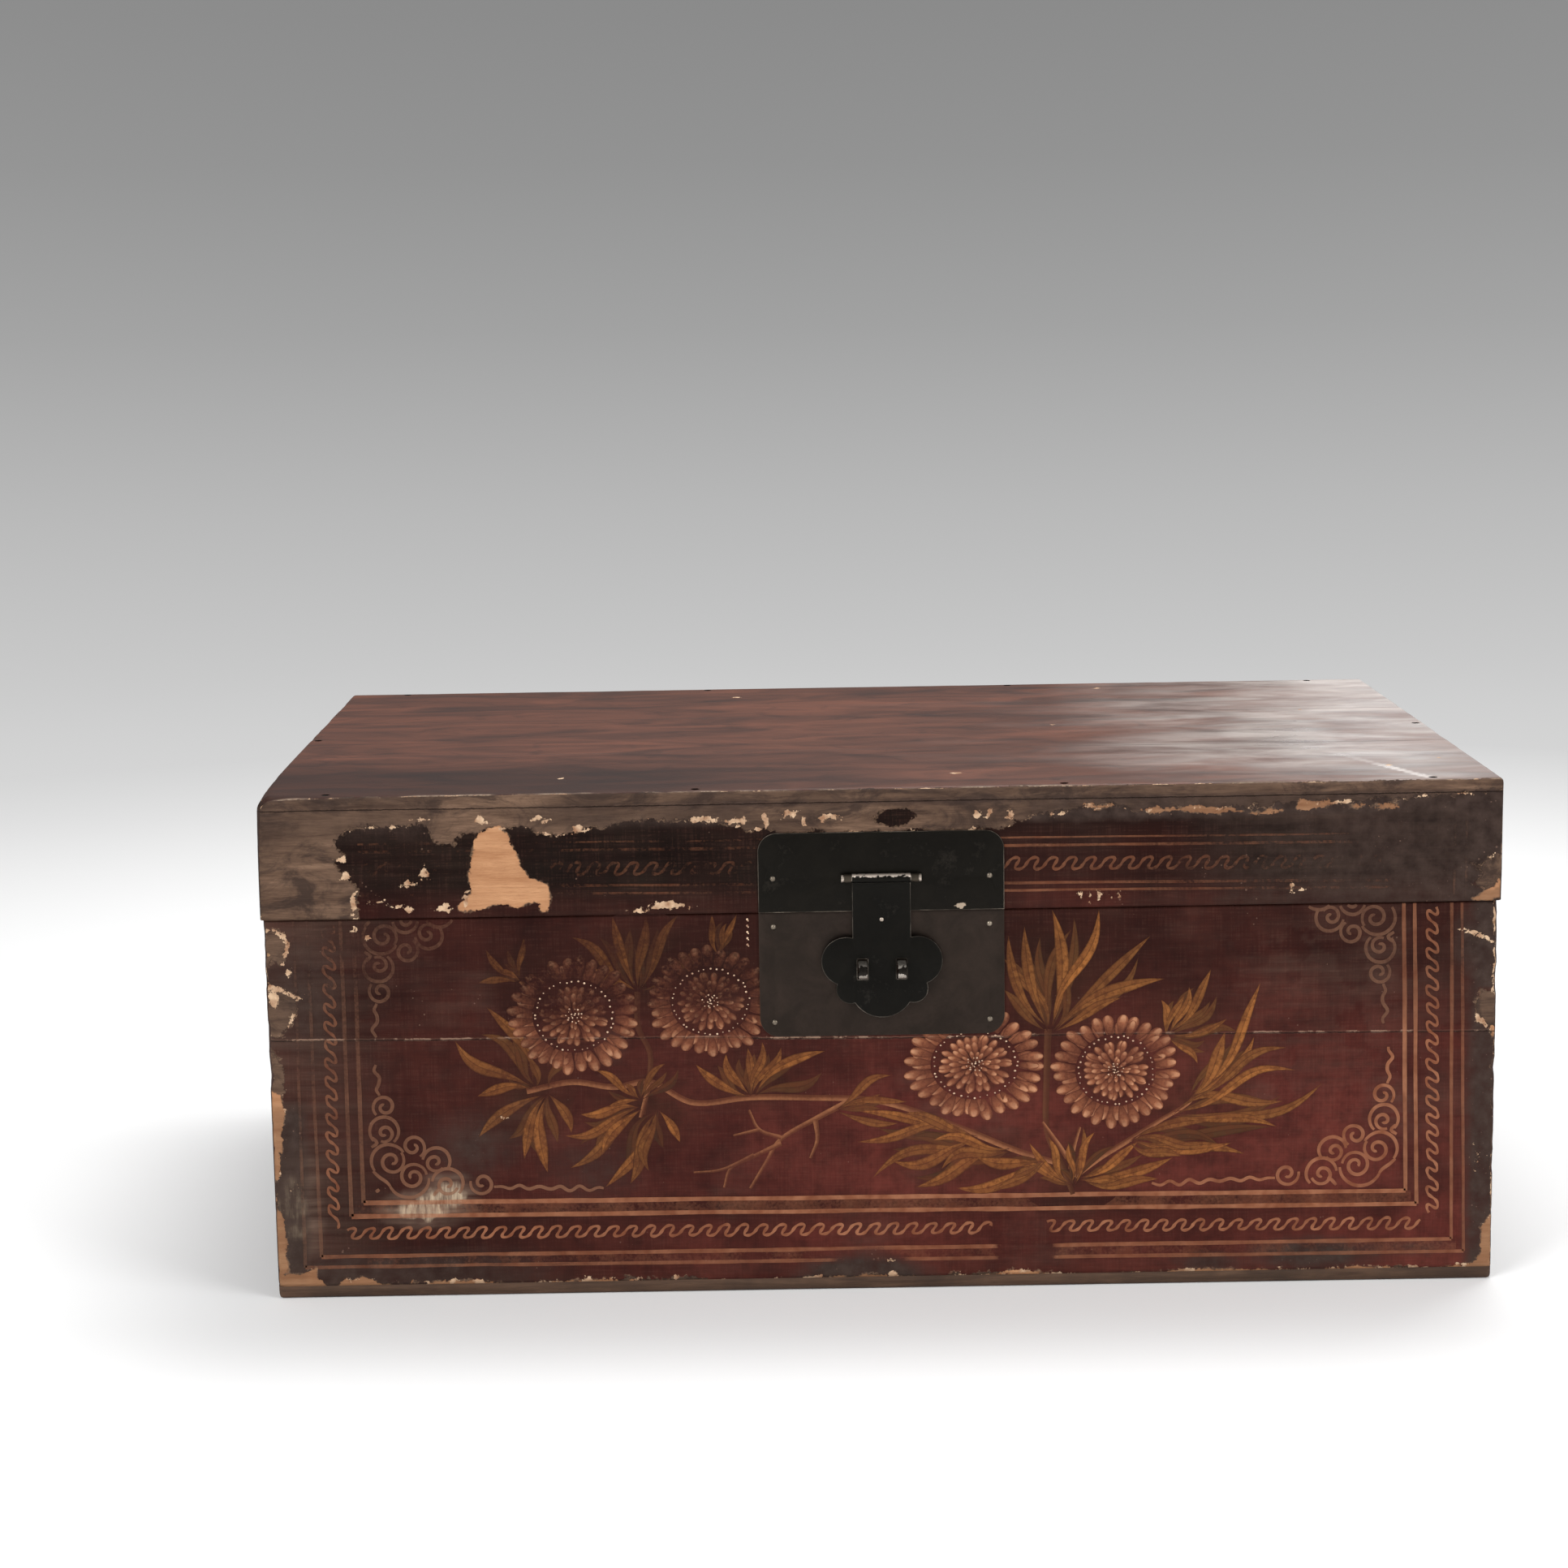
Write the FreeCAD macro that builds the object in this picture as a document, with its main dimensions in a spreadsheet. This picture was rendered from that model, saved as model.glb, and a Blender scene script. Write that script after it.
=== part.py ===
import FreeCAD, Part
from FreeCAD import Placement, Rotation, Vector
import math
import os
import Sketcher

# Painted storage trunk. All lengths are in millimetres. +Z is up, the front faces -Y, and the origin
# is on the underside, midway between the ends and under the middle of the lid.

SIZES = {
    # whole trunk
    "lid_width": 850,
    "lid_depth": 530,
    "lid_overhang": 2,
    "wall": 15,
    "bottom_thickness": 9,
    "joint_height": 181,
    "seam_height": 269,
    "seam_gap": 0.4,
    "lid_rim": 76,
    "top_thickness": 9,
    "corner_radius": 4,
    # dovetails at the upright corners
    "lower_tails": 4,
    "upper_tails": 2,
    "lid_tails": 2,
    "pin_width": 14,
    "tail_flare": 3,
    # lip inside the box that the lid closes over
    "lip_thickness": 8,
    "lip_below": 16,
    "lip_above": 10,
    "lip_bevel": 2,
    # lock plates on the front
    "plate_width": 168,
    "upper_plate_height": 55,
    "lower_plate_margin": 1,
    "plate_thickness": 1.2,
    "plate_corner": 13,
    "nail_inset": 10,
    # hasp, its hinge pin and the two eyes that hold the pin
    "hasp_rise": 23.5,
    "hasp_pin_radius": 1.7,
    "hasp_knuckle_radius": 3.2,
    "hasp_standoff": 0.3,
    "hasp_neck_width": 40,
    "hasp_neck_length": 60,
    "hasp_thickness": 2,
    "eye_strip": 1.3,
    "eye_width": 5,
    "eye_gap": 0.4,
    "pin_head_radius": 2.6,
    "pin_head_length": 1.5,
    "rivet_drop": 29,
    "rivet_radius": 1.5,
    # cloud-shaped end of the hasp, as discs given by their place below the pin
    "side_lobe_radius": 17,
    "side_lobe_spacing": 49,
    "side_lobe_drop": 58,
    "mid_lobe_radius": 10,
    "mid_lobe_spacing": 43,
    "mid_lobe_drop": 77.5,
    "tip_lobe_radius": 22.3,
    "tip_lobe_drop": 75.1,
    # staples that pass through the hasp and take the padlock's bar
    "staple_drop": 63.6,
    "staple_spacing": 26.8,
    "staple_width": 5.5,
    "staple_strip": 1.8,
    "staple_opening": 7.4,
    "staple_reach": 13,
    "slot_clearance": 1.6,
    # clenched ends of staples and eyes
    "clench_thickness": 1.3,
    "clench_length": 8,
    # hinges on the back
    "hinge_spacing": 520,
    "leaf_width": 60,
    "leaf_height": 42,
    "leaf_thickness": 1.5,
    "leaf_corner": 4,
    "barrel_radius": 3.5,
    "hinge_pin_radius": 2,
    "knuckle_gap": 0.3,
    "notch_clearance": 0.4,
    # bail handles on the ends
    "handle_below_lip": 29,
    "handle_eye_spacing": 104,
    "rose_radius": 17,
    "rose_thickness": 1.2,
    "rod_radius": 3.5,
    "handle_standoff": 0.3,
    "handle_strip": 1.8,
    "handle_eye_width": 6,
    "bail_overhang": 13,
    "bail_inset": 8,
    "bail_drop": 50,
    "bail_bend": 9,
    "bail_head_radius": 4.6,
    "bail_head_length": 1.6,
    "fit_clearance": 0.05,
    "hole_clearance": 0.1,
    # nails
    "dome_radius": 1.9,
    "dome_height": 1,
    "shank_radius": 0.8,
    "shank_length": 11,
    "spike_radius": 1.2,
    "spike_head_radius": 3,
    "spike_head_thickness": 1,
    "spike_length": 32,
    "spike_inset": 40,
    "spikes_along": 4,
    "brad_length": 18,
    "brad_head_radius": 1.2,
    "brad_head_thickness": 0.5,
    "brads_along": 4,
    "brads_across": 3,
}

# Bottom and lid top are each made of three planks laid side by side.
PLANKS = ("front", "middle", "back")
OUT = "parts"

doc = FreeCAD.newDocument("Trunk")
sheet = doc.addObject("Spreadsheet::Sheet", "Sizes")
for row, (alias, value) in enumerate(SIZES.items(), start=1):
    sheet.set(f"A{row}", str(value))
    sheet.setAlias(f"A{row}", alias)
doc.recompute()


def size(alias):
    return float(sheet.get(alias))


def named(text):
    """Turns a formula of bare aliases, such as 'wall * 2', into one that reads the sheet."""
    for alias in sorted(SIZES, key=len, reverse=True):
        parts = text.split(alias)
        text = parts[0]
        for before, after in zip(parts, parts[1:]):
            whole = not before[-1:].isalpha() and before[-1:] not in ("_", ".")
            whole = whole and not after[:1].isalnum() and after[:1] != "_"
            text += ("Sizes." if whole else "") + alias + after
    return text


def bind(thing, target, formula):
    thing.setExpression(target, named(str(formula)))


# Where the boards stand, as formulas of the sheet's values.
BOX_WIDTH = "(lid_width - 2 * lid_overhang)"
BOX_FRONT = "(lid_depth / 2 - lid_overhang)"
BOX_BACK = "(lid_depth / 2)"
BOX_DEPTH = "(lid_depth - lid_overhang)"
BOX_MIDDLE = "(lid_overhang / 2)"
LOWER_PLATE_HEIGHT = "(seam_height - joint_height - lower_plate_margin)"
HANDLE_HEIGHT = "(seam_height - lip_below - handle_below_lip)"
LID_BOTTOM = "(seam_height + seam_gap)"
LID_TOP_UNDERSIDE = "(seam_height + seam_gap + lid_rim)"
LID_FRONT = "(lid_depth / 2)"


# Bodies are drawn in a face frame: X runs along the face, Z is up, the face is at y = 0, the outside
# is towards -Y. Their placement then turns them to the side they belong to.
FRONT, RIGHT, BACK, LEFT = 0, 90, 180, -90


def new_body(label, turn=FRONT, place=("0", "0", "0")):
    body = doc.addObject("PartDesign::Body", label)
    body.Label = label
    body.Placement = Placement(Vector(), Rotation(Vector(0, 0, 1), turn))
    for axis, formula in zip("xyz", place):
        bind(body, f"Placement.Base.{axis}", formula)
    return body


def origin_part(body, role):
    return next(part for part in body.Origin.OriginFeatures if part.Role == role)


def sketch_on(body, name, role, place):
    """A sketch on an origin plane. place holds its origin's two coordinates in the plane and its
    distance along the plane's normal, which is -Y for XZ_Plane."""
    sketch = body.newObject("Sketcher::SketchObject", name)
    sketch.AttachmentSupport = [(origin_part(body, role), "")]
    sketch.MapMode = "FlatFace"
    for axis, formula in zip("xyz", place):
        bind(sketch, f"AttachmentOffset.Base.{axis}", formula)
    return sketch


def dimension(sketch, name, formula, kind, *where):
    index = sketch.addConstraint(Sketcher.Constraint(kind, *where, 10.0))
    sketch.renameConstraint(index, name)
    bind(sketch, f"Constraints.{name}", formula)


def closed_lines(sketch, corners):
    count = len(corners)
    for index in range(count):
        start, end = corners[index], corners[(index + 1) % count]
        sketch.addGeometry(Part.LineSegment(Vector(*start, 0), Vector(*end, 0)))
    for index in range(count):
        joined = Sketcher.Constraint("Coincident", index, 2, (index + 1) % count, 1)
        sketch.addConstraint(joined)


def rectangle(body, name, role, place, wide, tall):
    """A rectangle whose lower left corner is at place."""
    sketch = sketch_on(body, name, role, place)
    closed_lines(sketch, [(0, 0), (10, 0), (10, 10), (0, 10)])
    for kind, line in (("Horizontal", 0), ("Horizontal", 2), ("Vertical", 1), ("Vertical", 3)):
        sketch.addConstraint(Sketcher.Constraint(kind, line))
    sketch.addConstraint(Sketcher.Constraint("Coincident", 0, 1, -1, 1))
    dimension(sketch, "wide", wide, "DistanceX", 0, 1, 0, 2)
    dimension(sketch, "tall", tall, "DistanceY", 1, 1, 1, 2)
    return sketch


def circle(body, name, role, place, radius):
    sketch = sketch_on(body, name, role, place)
    sketch.addGeometry(Part.Circle(Vector(), Vector(0, 0, 1), 10))
    sketch.addConstraint(Sketcher.Constraint("Coincident", 0, 3, -1, 1))
    dimension(sketch, "radius", radius, "Radius", 0)
    return sketch


def trapezoid(body, name, role, place, near, far, reach, backwards=False):
    """A dovetail outline, 2 * near tall at place and 2 * far tall at reach from it."""
    sketch = sketch_on(body, name, role, place)
    way = -10 if backwards else 10
    closed_lines(sketch, [(0, -4), (way, -6), (way, 6), (0, 4)])
    sketch.addConstraint(Sketcher.Constraint("PointOnObject", 3, 2, -2))
    sketch.addConstraint(Sketcher.Constraint("Symmetric", 3, 1, 3, 2, -1))
    sketch.addConstraint(Sketcher.Constraint("Symmetric", 1, 1, 1, 2, -1))
    ends = (0, 2, 0, 1) if backwards else (0, 1, 0, 2)
    dimension(sketch, "reach", reach, "DistanceX", *ends)
    dimension(sketch, "near", f"2 * {near}", "DistanceY", 3, 2, 3, 1)
    dimension(sketch, "far", f"2 * {far}", "DistanceY", 1, 1, 1, 2)
    return sketch


def pad(body, sketch, length, backwards=False):
    feature = body.newObject("PartDesign::Pad", sketch.Name + "_pad")
    feature.Profile = sketch
    feature.Reversed = backwards
    bind(feature, "Length", length)
    return feature


def pocket(body, sketch, length, backwards=False):
    feature = body.newObject("PartDesign::Pocket", sketch.Name + "_pocket")
    feature.Profile = sketch
    feature.Reversed = backwards
    bind(feature, "Length", length)
    return feature


def repeat_up(body, originals, pitch, count):
    """Repeats features upwards, count in all, pitch apart."""
    pattern = body.newObject("PartDesign::LinearPattern", body.Name + "_pattern")
    pattern.Originals = originals
    pattern.Direction = (origin_part(body, "Z_Axis"), [""])
    bind(pattern, "Length", f"{pitch} * ({count} - 1)")
    bind(pattern, "Occurrences", count)
    body.Tip = pattern
    return pattern


def round_edges(body, radius, wanted):
    """Fillets the edges of the body for which wanted(edge) is true."""
    doc.recompute()
    base = body.Tip
    names = [f"Edge{n}" for n, edge in enumerate(base.Shape.Edges, start=1) if wanted(edge)]
    fillet = body.newObject("PartDesign::Fillet", body.Name + "_fillet")
    fillet.Base = (base, names)
    bind(fillet, "Radius", radius)
    body.Tip = fillet
    return fillet


def upright(edge):
    """True for a straight edge along Z."""
    way = edge.Vertexes[-1].Point - edge.Vertexes[0].Point
    return way.Length > 0 and abs(way.z) > 0.999 * way.Length


def near_plane(edge, axis, value):
    return all(abs(getattr(v.Point, axis) - value) < 0.01 for v in edge.Vertexes)


def at_outer_corner(edge, half_length):
    """True for an upright arris of a board, in its face frame."""
    middle = edge.BoundBox.Center
    return upright(edge) and abs(middle.y) < 0.01 and abs(abs(middle.x) - half_length) < 0.01


# Front and back boards end in dovetails. Each tail is wider at the board's end than at its root.
def tail_board(label, turn, place, length, low, high, tails):
    body = new_body(label, turn, place)
    height = f"({high} - {low})"
    pitch = f"({height} / {tails})"
    half = f"({length} / 2 - wall)"
    far = f"({pitch} - pin_width) / 2"
    near = f"({far} - tail_flare)"
    blank = rectangle(body, label + "_blank", "XZ_Plane", (f"-{half}", low, "0"), f"2 * {half}", height)
    pad(body, blank, "wall", backwards=True)
    middle = f"{low} + {pitch} / 2"
    right = trapezoid(body, label + "_right", "XZ_Plane", (half, middle, "0"), near, f"({far})", "wall")
    left = trapezoid(
        body, label + "_left", "XZ_Plane", (f"-{half}", middle, "0"), near, f"({far})", "wall", True
    )
    tail_pads = [pad(body, sketch, "wall", backwards=True) for sketch in (right, left)]
    repeat_up(body, tail_pads, pitch, tails)
    return body


# End boards have the matching sockets, so that their pins fill the gaps between the tails.
def pin_board(label, turn, place, length, low, high, tails):
    body = new_body(label, turn, place)
    height = f"({high} - {low})"
    pitch = f"({height} / {tails})"
    half = f"({length} / 2)"
    far = f"({pitch} - pin_width) / 2"
    near = f"({far} - tail_flare)"
    blank = rectangle(body, label + "_blank", "XZ_Plane", (f"-{half}", low, "0"), f"2 * {half}", height)
    pad(body, blank, "wall", backwards=True)
    middle = f"{low} + {pitch} / 2"
    sockets = []
    for side, end in (("right", half), ("left", f"-{half}")):
        sketch = trapezoid(
            body, f"{label}_{side}", "YZ_Plane", ("0", middle, end), f"({far})", near, "wall"
        )
        sockets.append(pocket(body, sketch, "wall", backwards=side == "left"))
    repeat_up(body, sockets, pitch, tails)
    return body


def ring_of_boards(prefix, suffix, low, high, tails, width, front, depth, middle):
    """The four boards of one height, front, back, left and right, with their arrises rounded."""
    half_width = f"({width}) / 2"
    boards = []
    for side, turn, y in (("front", FRONT, f"-{front}"), ("back", BACK, BOX_BACK)):
        label = f"{prefix}{side}{suffix}"
        boards.append(tail_board(label, turn, ("0", y, "0"), width, low, high, tails))
    for side, turn, x in (("left", LEFT, f"-{half_width}"), ("right", RIGHT, half_width)):
        label = f"{prefix}{side}{suffix}"
        boards.append(pin_board(label, turn, (x, middle, "0"), depth, low, high, tails))
    doc.recompute()
    for board in boards:
        reach = board.Tip.Shape.BoundBox.XMax
        round_edges(board, "corner_radius", lambda edge: at_outer_corner(edge, reach))


def trunk_boards():
    ring_of_boards(
        "", "_lower_board", "bottom_thickness", "joint_height", "lower_tails",
        BOX_WIDTH, BOX_FRONT, BOX_DEPTH, BOX_MIDDLE,
    )
    ring_of_boards(
        "", "_upper_board", "joint_height", "seam_height", "upper_tails",
        BOX_WIDTH, BOX_FRONT, BOX_DEPTH, BOX_MIDDLE,
    )
    ring_of_boards(
        "lid_", "_board", LID_BOTTOM, LID_TOP_UNDERSIDE, "lid_tails",
        "lid_width", LID_FRONT, "lid_depth", "0",
    )


# Planks run the full width. Their outer arrises are rounded like the walls', and the lid's top edge
# is rounded as well.
def planks(prefix, width, depth, front, low, thickness, rounded_top):
    breadth = f"({depth}) / {len(PLANKS)}"
    for index, name in enumerate(PLANKS):
        label = f"{prefix}_{name}_plank"
        body = new_body(label, FRONT, ("0", f"-{front} + {index} * {breadth}", "0"))
        sketch = rectangle(
            body, label + "_outline", "XY_Plane", (f"-({width}) / 2", "0", low), width, breadth
        )
        pad(body, sketch, thickness)
        doc.recompute()
        box = body.Tip.Shape.BoundBox
        ends = [("x", box.XMin), ("x", box.XMax)]
        outer = {"front": [("y", box.YMin)], "middle": [], "back": [("y", box.YMax)]}[name]

        def wanted(edge):
            if upright(edge):
                sides = [near_plane(edge, "y", value) for _, value in outer]
                return any(sides)
            on_top = near_plane(edge, "z", box.ZMax)
            return rounded_top and on_top and any(near_plane(edge, *side) for side in ends + outer)

        if outer or rounded_top:
            round_edges(body, "corner_radius", wanted)


# The lip is a strip nailed inside the box. Above the seam its outer face slopes inwards, so that the
# lid finds its place as it closes.
def lip_strip(label, turn, place, length):
    body = new_body(label, turn, place)
    sketch = sketch_on(body, label + "_profile", "YZ_Plane", ("wall", "seam_height", f"-({length}) / 2"))
    closed_lines(sketch, [(0, -10), (5, -10), (5, 6), (2, 6), (0, 0)])
    for kind, line in (("Horizontal", 0), ("Vertical", 1), ("Horizontal", 2), ("Vertical", 4)):
        sketch.addConstraint(Sketcher.Constraint(kind, line))
    sketch.addConstraint(Sketcher.Constraint("Coincident", 4, 1, -1, 1))
    dimension(sketch, "below", "lip_below", "DistanceY", 4, 2, 4, 1)
    dimension(sketch, "thick", "lip_thickness", "DistanceX", 0, 1, 0, 2)
    dimension(sketch, "above", "lip_above", "DistanceY", 4, 1, 2, 1)
    dimension(sketch, "bevel", "lip_bevel", "DistanceX", 4, 1, 2, 2)
    pad(body, sketch, length)


def lip():
    inside_width = f"({BOX_WIDTH} - 2 * wall)"
    inside_depth = f"({BOX_DEPTH} - 2 * wall - 2 * lip_thickness)"
    lip_strip("lip_front", FRONT, ("0", f"-{BOX_FRONT}", "0"), inside_width)
    lip_strip("lip_back", BACK, ("0", BOX_BACK, "0"), inside_width)
    lip_strip("lip_left", LEFT, (f"-{BOX_WIDTH} / 2", BOX_MIDDLE, "0"), inside_depth)
    lip_strip("lip_right", RIGHT, (f"{BOX_WIDTH} / 2", BOX_MIDDLE, "0"), inside_depth)


def box_pad(body, name, low, high):
    """A block from one corner to the other, each given as three formulas in the body's frame."""
    spans = [f"({b}) - ({a})" for a, b in zip(low, high)]
    sketch = rectangle(body, name, "XZ_Plane", (low[0], low[2], f"-({low[1]})"), spans[0], spans[2])
    return pad(body, sketch, spans[1], backwards=True)


def box_pocket(body, name, low, high):
    spans = [f"({b}) - ({a})" for a, b in zip(low, high)]
    sketch = rectangle(body, name, "XZ_Plane", (low[0], low[2], f"-({low[1]})"), spans[0], spans[2])
    return pocket(body, sketch, spans[1])


def rod_pad(body, name, start, length, y, z, radius):
    """A round bar along X."""
    return pad(body, circle(body, name, "YZ_Plane", (y, z, start), radius), length)


def rod_pocket(body, name, start, length, y, z, radius):
    sketch = circle(body, name, "YZ_Plane", (y, z, start), radius)
    return pocket(body, sketch, length, backwards=True)


# Lock plates are sheet brass, nailed on, one on the lid and one on the box.
def lock_plate(label, place, height, rounded_end):
    body = new_body(label, FRONT, place)
    low = "0" if rounded_end == "top" else f"-{height}"
    box_pad(
        body, label + "_sheet",
        ("-plate_width / 2", "-plate_thickness", low), ("plate_width / 2", "0", f"{low} + {height}"),
    )
    doc.recompute()
    box = body.Tip.Shape.BoundBox
    end = box.ZMax if rounded_end == "top" else box.ZMin

    def at_rounded_corner(edge):
        across = abs(edge.BoundBox.YLength - box.YLength) < 0.01
        return across and near_plane(edge, "z", end)

    round_edges(body, "plate_corner", at_rounded_corner)
    return body


def plate_holes(body, places):
    """Round nail holes through a plate or leaf that lies on the face."""
    for number, (x, z, thickness) in enumerate(places, start=1):
        name = f"{body.Name}_hole_{number}"
        sketch = circle(body, name, "XZ_Plane", (x, z, "0"), "shank_radius + hole_clearance")
        pocket(body, sketch, thickness, backwards=True)


UPPER_NAILS = [
    ("plate_width / 2 - nail_inset", "hasp_rise"),
    ("nail_inset - plate_width / 2", "hasp_rise"),
]
LOWER_NAILS = [
    (x, z)
    for x in ("plate_width / 2 - nail_inset", "nail_inset - plate_width / 2")
    for z in ("-nail_inset", f"nail_inset - {LOWER_PLATE_HEIGHT}")
]
HASP_AXIS_Y = "(plate_thickness + hasp_standoff + hasp_knuckle_radius)"
EYE_X = "(hasp_neck_width / 2 + eye_gap + eye_width / 2)"
EYE_SHANK = "(2 * eye_strip + eye_gap)"
STAPLE_OUTER = "(staple_opening + 2 * staple_strip)"
STAPLE_Z = "(hasp_rise - staple_drop)"
STAPLE_TIP_Y = "(plate_thickness + hasp_standoff + hasp_thickness + lid_overhang + staple_reach)"


def lock_plates():
    upper_place = ("0", f"-{LID_FRONT}", LID_BOTTOM)
    lower_place = ("0", f"-{BOX_FRONT}", "seam_height")
    upper = lock_plate("lock_plate_upper", upper_place, "upper_plate_height", "top")
    lower = lock_plate("lock_plate_lower", lower_place, LOWER_PLATE_HEIGHT, "bottom")
    plate_holes(upper, [(x, z, "plate_thickness") for x, z in UPPER_NAILS])
    plate_holes(lower, [(x, z, "plate_thickness") for x, z in LOWER_NAILS])
    for side, sign in (("left", "-"), ("right", "")):
        middle = f"({sign}{EYE_X})"
        box_pocket(
            upper, f"upper_slot_{side}",
            (f"{middle} - eye_width / 2 - hole_clearance", "-plate_thickness",
             f"hasp_rise - {EYE_SHANK} / 2 - hole_clearance"),
            (f"{middle} + eye_width / 2 + hole_clearance", "0",
             f"hasp_rise + {EYE_SHANK} / 2 + hole_clearance"),
        ).Reversed = False
        middle = f"({sign}staple_spacing / 2)"
        centre = f"({STAPLE_Z} + seam_gap)"
        box_pocket(
            lower, f"lower_slot_{side}",
            (f"{middle} - staple_width / 2 - hole_clearance", "-plate_thickness",
             f"{centre} - {STAPLE_OUTER} / 2 - hole_clearance"),
            (f"{middle} + staple_width / 2 + hole_clearance", "0",
             f"{centre} + {STAPLE_OUTER} / 2 + hole_clearance"),
        )


# An eye is a strip bent round a pin, with both ends driven through the board and turned over inside.
def eye(label, turn, place, axis_y, inner, strip, width):
    body = new_body(label, turn, place)
    side = f"-({width}) / 2"
    outer = f"({inner}) + {strip}"
    shank = f"({strip} + eye_gap / 2)"
    rod_pad(body, label + "_ring", side, width, f"-({axis_y})", "0", outer)
    box_pad(
        body, label + "_shank", (side, f"-({axis_y})", f"-{shank}"), (f"{width} / 2", "wall", shank)
    )
    for end, sign in (("upper", 1), ("lower", -1)):
        reach = f"({shank} + clench_length)"
        low = "0" if sign > 0 else f"-{reach}"
        box_pad(
            body, f"{label}_{end}_clench",
            (side, "wall", low), (f"{width} / 2", "wall + clench_thickness", f"{low} + {reach}"),
        )
    box_pocket(
        body, label + "_split", (side, f"-({axis_y})", "-eye_gap / 2"),
        (f"{width} / 2", "wall + clench_thickness", "eye_gap / 2"),
    )
    rod_pocket(body, label + "_bore", side, width, f"-({axis_y})", "0", inner)
    return body


# The padlock's bar slides through these two tall loops once the hasp is down over them.
def lock_staple(label, x):
    centre = f"({LID_BOTTOM} + {STAPLE_Z})"
    body = new_body(label, FRONT, (x, f"-{BOX_FRONT}", centre))
    side, width = "-staple_width / 2", "staple_width"
    outer, inner = f"({STAPLE_OUTER} / 2)", "(staple_opening / 2)"
    bend = f"({outer} - {STAPLE_TIP_Y})"
    rod_pad(body, label + "_bow", side, width, bend, "0", outer)
    box_pad(body, label + "_legs", (side, bend, f"-{outer}"), ("staple_width / 2", "wall", outer))
    for end, sign in (("upper", 1), ("lower", -1)):
        reach = f"({outer} + clench_length)"
        low = inner if sign > 0 else f"-{reach}"
        high = reach if sign > 0 else f"-{inner}"
        box_pad(
            body, f"{label}_{end}_clench",
            (side, "wall", low), ("staple_width / 2", "wall + clench_thickness", high),
        )
    rod_pocket(body, label + "_bow_bore", side, width, bend, "0", inner)
    box_pocket(body, label + "_gap", (side, bend, f"-{inner}"), ("staple_width / 2", "wall", inner))


# The hasp hangs from its knuckle. Its plate is tangent to the knuckle's back, and its end is a cloud
# made of overlapping round lobes.
def hasp():
    body = new_body("hasp", FRONT, ("0", f"-{LID_FRONT} - {HASP_AXIS_Y}", f"{LID_BOTTOM} + hasp_rise"))
    back, front = "hasp_knuckle_radius", "hasp_knuckle_radius - hasp_thickness"
    box_pad(
        body, "hasp_neck",
        ("-hasp_neck_width / 2", front, "-hasp_neck_length"), ("hasp_neck_width / 2", back, "0"),
    )
    lobes = [
        ("side_left", "-side_lobe_spacing / 2", "side_lobe_drop", "side_lobe_radius"),
        ("side_right", "side_lobe_spacing / 2", "side_lobe_drop", "side_lobe_radius"),
        ("mid_left", "-mid_lobe_spacing / 2", "mid_lobe_drop", "mid_lobe_radius"),
        ("mid_right", "mid_lobe_spacing / 2", "mid_lobe_drop", "mid_lobe_radius"),
        ("tip", "0", "tip_lobe_drop", "tip_lobe_radius"),
    ]
    for name, x, drop, radius in lobes:
        disc = circle(body, f"hasp_{name}", "XZ_Plane", (x, f"-{drop}", f"-({front})"), radius)
        pad(body, disc, "hasp_thickness", backwards=True)
    rod_pad(body, "hasp_knuckle", "-hasp_neck_width / 2", "hasp_neck_width", "0", "0", "hasp_knuckle_radius")
    rod_pocket(
        body, "hasp_bore", "-hasp_neck_width / 2", "hasp_neck_width", "0", "0",
        "hasp_pin_radius + fit_clearance",
    )
    for side, sign in (("left", "-"), ("right", "")):
        middle = f"({sign}staple_spacing / 2)"
        half_tall = f"({STAPLE_OUTER} / 2 + slot_clearance)"
        half_wide = "(staple_width / 2 + slot_clearance / 2)"
        box_pocket(
            body, f"hasp_slot_{side}",
            (f"{middle} - {half_wide}", front, f"-staple_drop - {half_tall}"),
            (f"{middle} + {half_wide}", back, f"-staple_drop + {half_tall}"),
        )
    rivet_place = ("0", "-rivet_drop", f"-({front})")
    hole = circle(body, "hasp_rivet_hole", "XZ_Plane", rivet_place, "rivet_radius / 2")
    pocket(body, hole, "hasp_thickness", backwards=True)


def hasp_pin():
    body = new_body("hasp_pin", FRONT, ("0", f"-{LID_FRONT} - {HASP_AXIS_Y}", f"{LID_BOTTOM} + hasp_rise"))
    reach = f"({EYE_X} + eye_width / 2 + eye_gap)"
    rod_pad(body, "hasp_pin_rod", f"-{reach}", f"2 * {reach}", "0", "0", "hasp_pin_radius")
    for side, start in (("left", f"-{reach} - pin_head_length"), ("right", reach)):
        rod_pad(body, f"hasp_pin_head_{side}", start, "pin_head_length", "0", "0", "pin_head_radius")


def hasp_eyes():
    for side, sign in (("left", "-"), ("right", "")):
        place = (f"{sign}{EYE_X}", f"-{LID_FRONT}", f"{LID_BOTTOM} + hasp_rise")
        eye(
            f"hasp_eye_{side}", FRONT, place, HASP_AXIS_Y,
            "hasp_pin_radius + fit_clearance", "eye_strip", "eye_width",
        )


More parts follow.
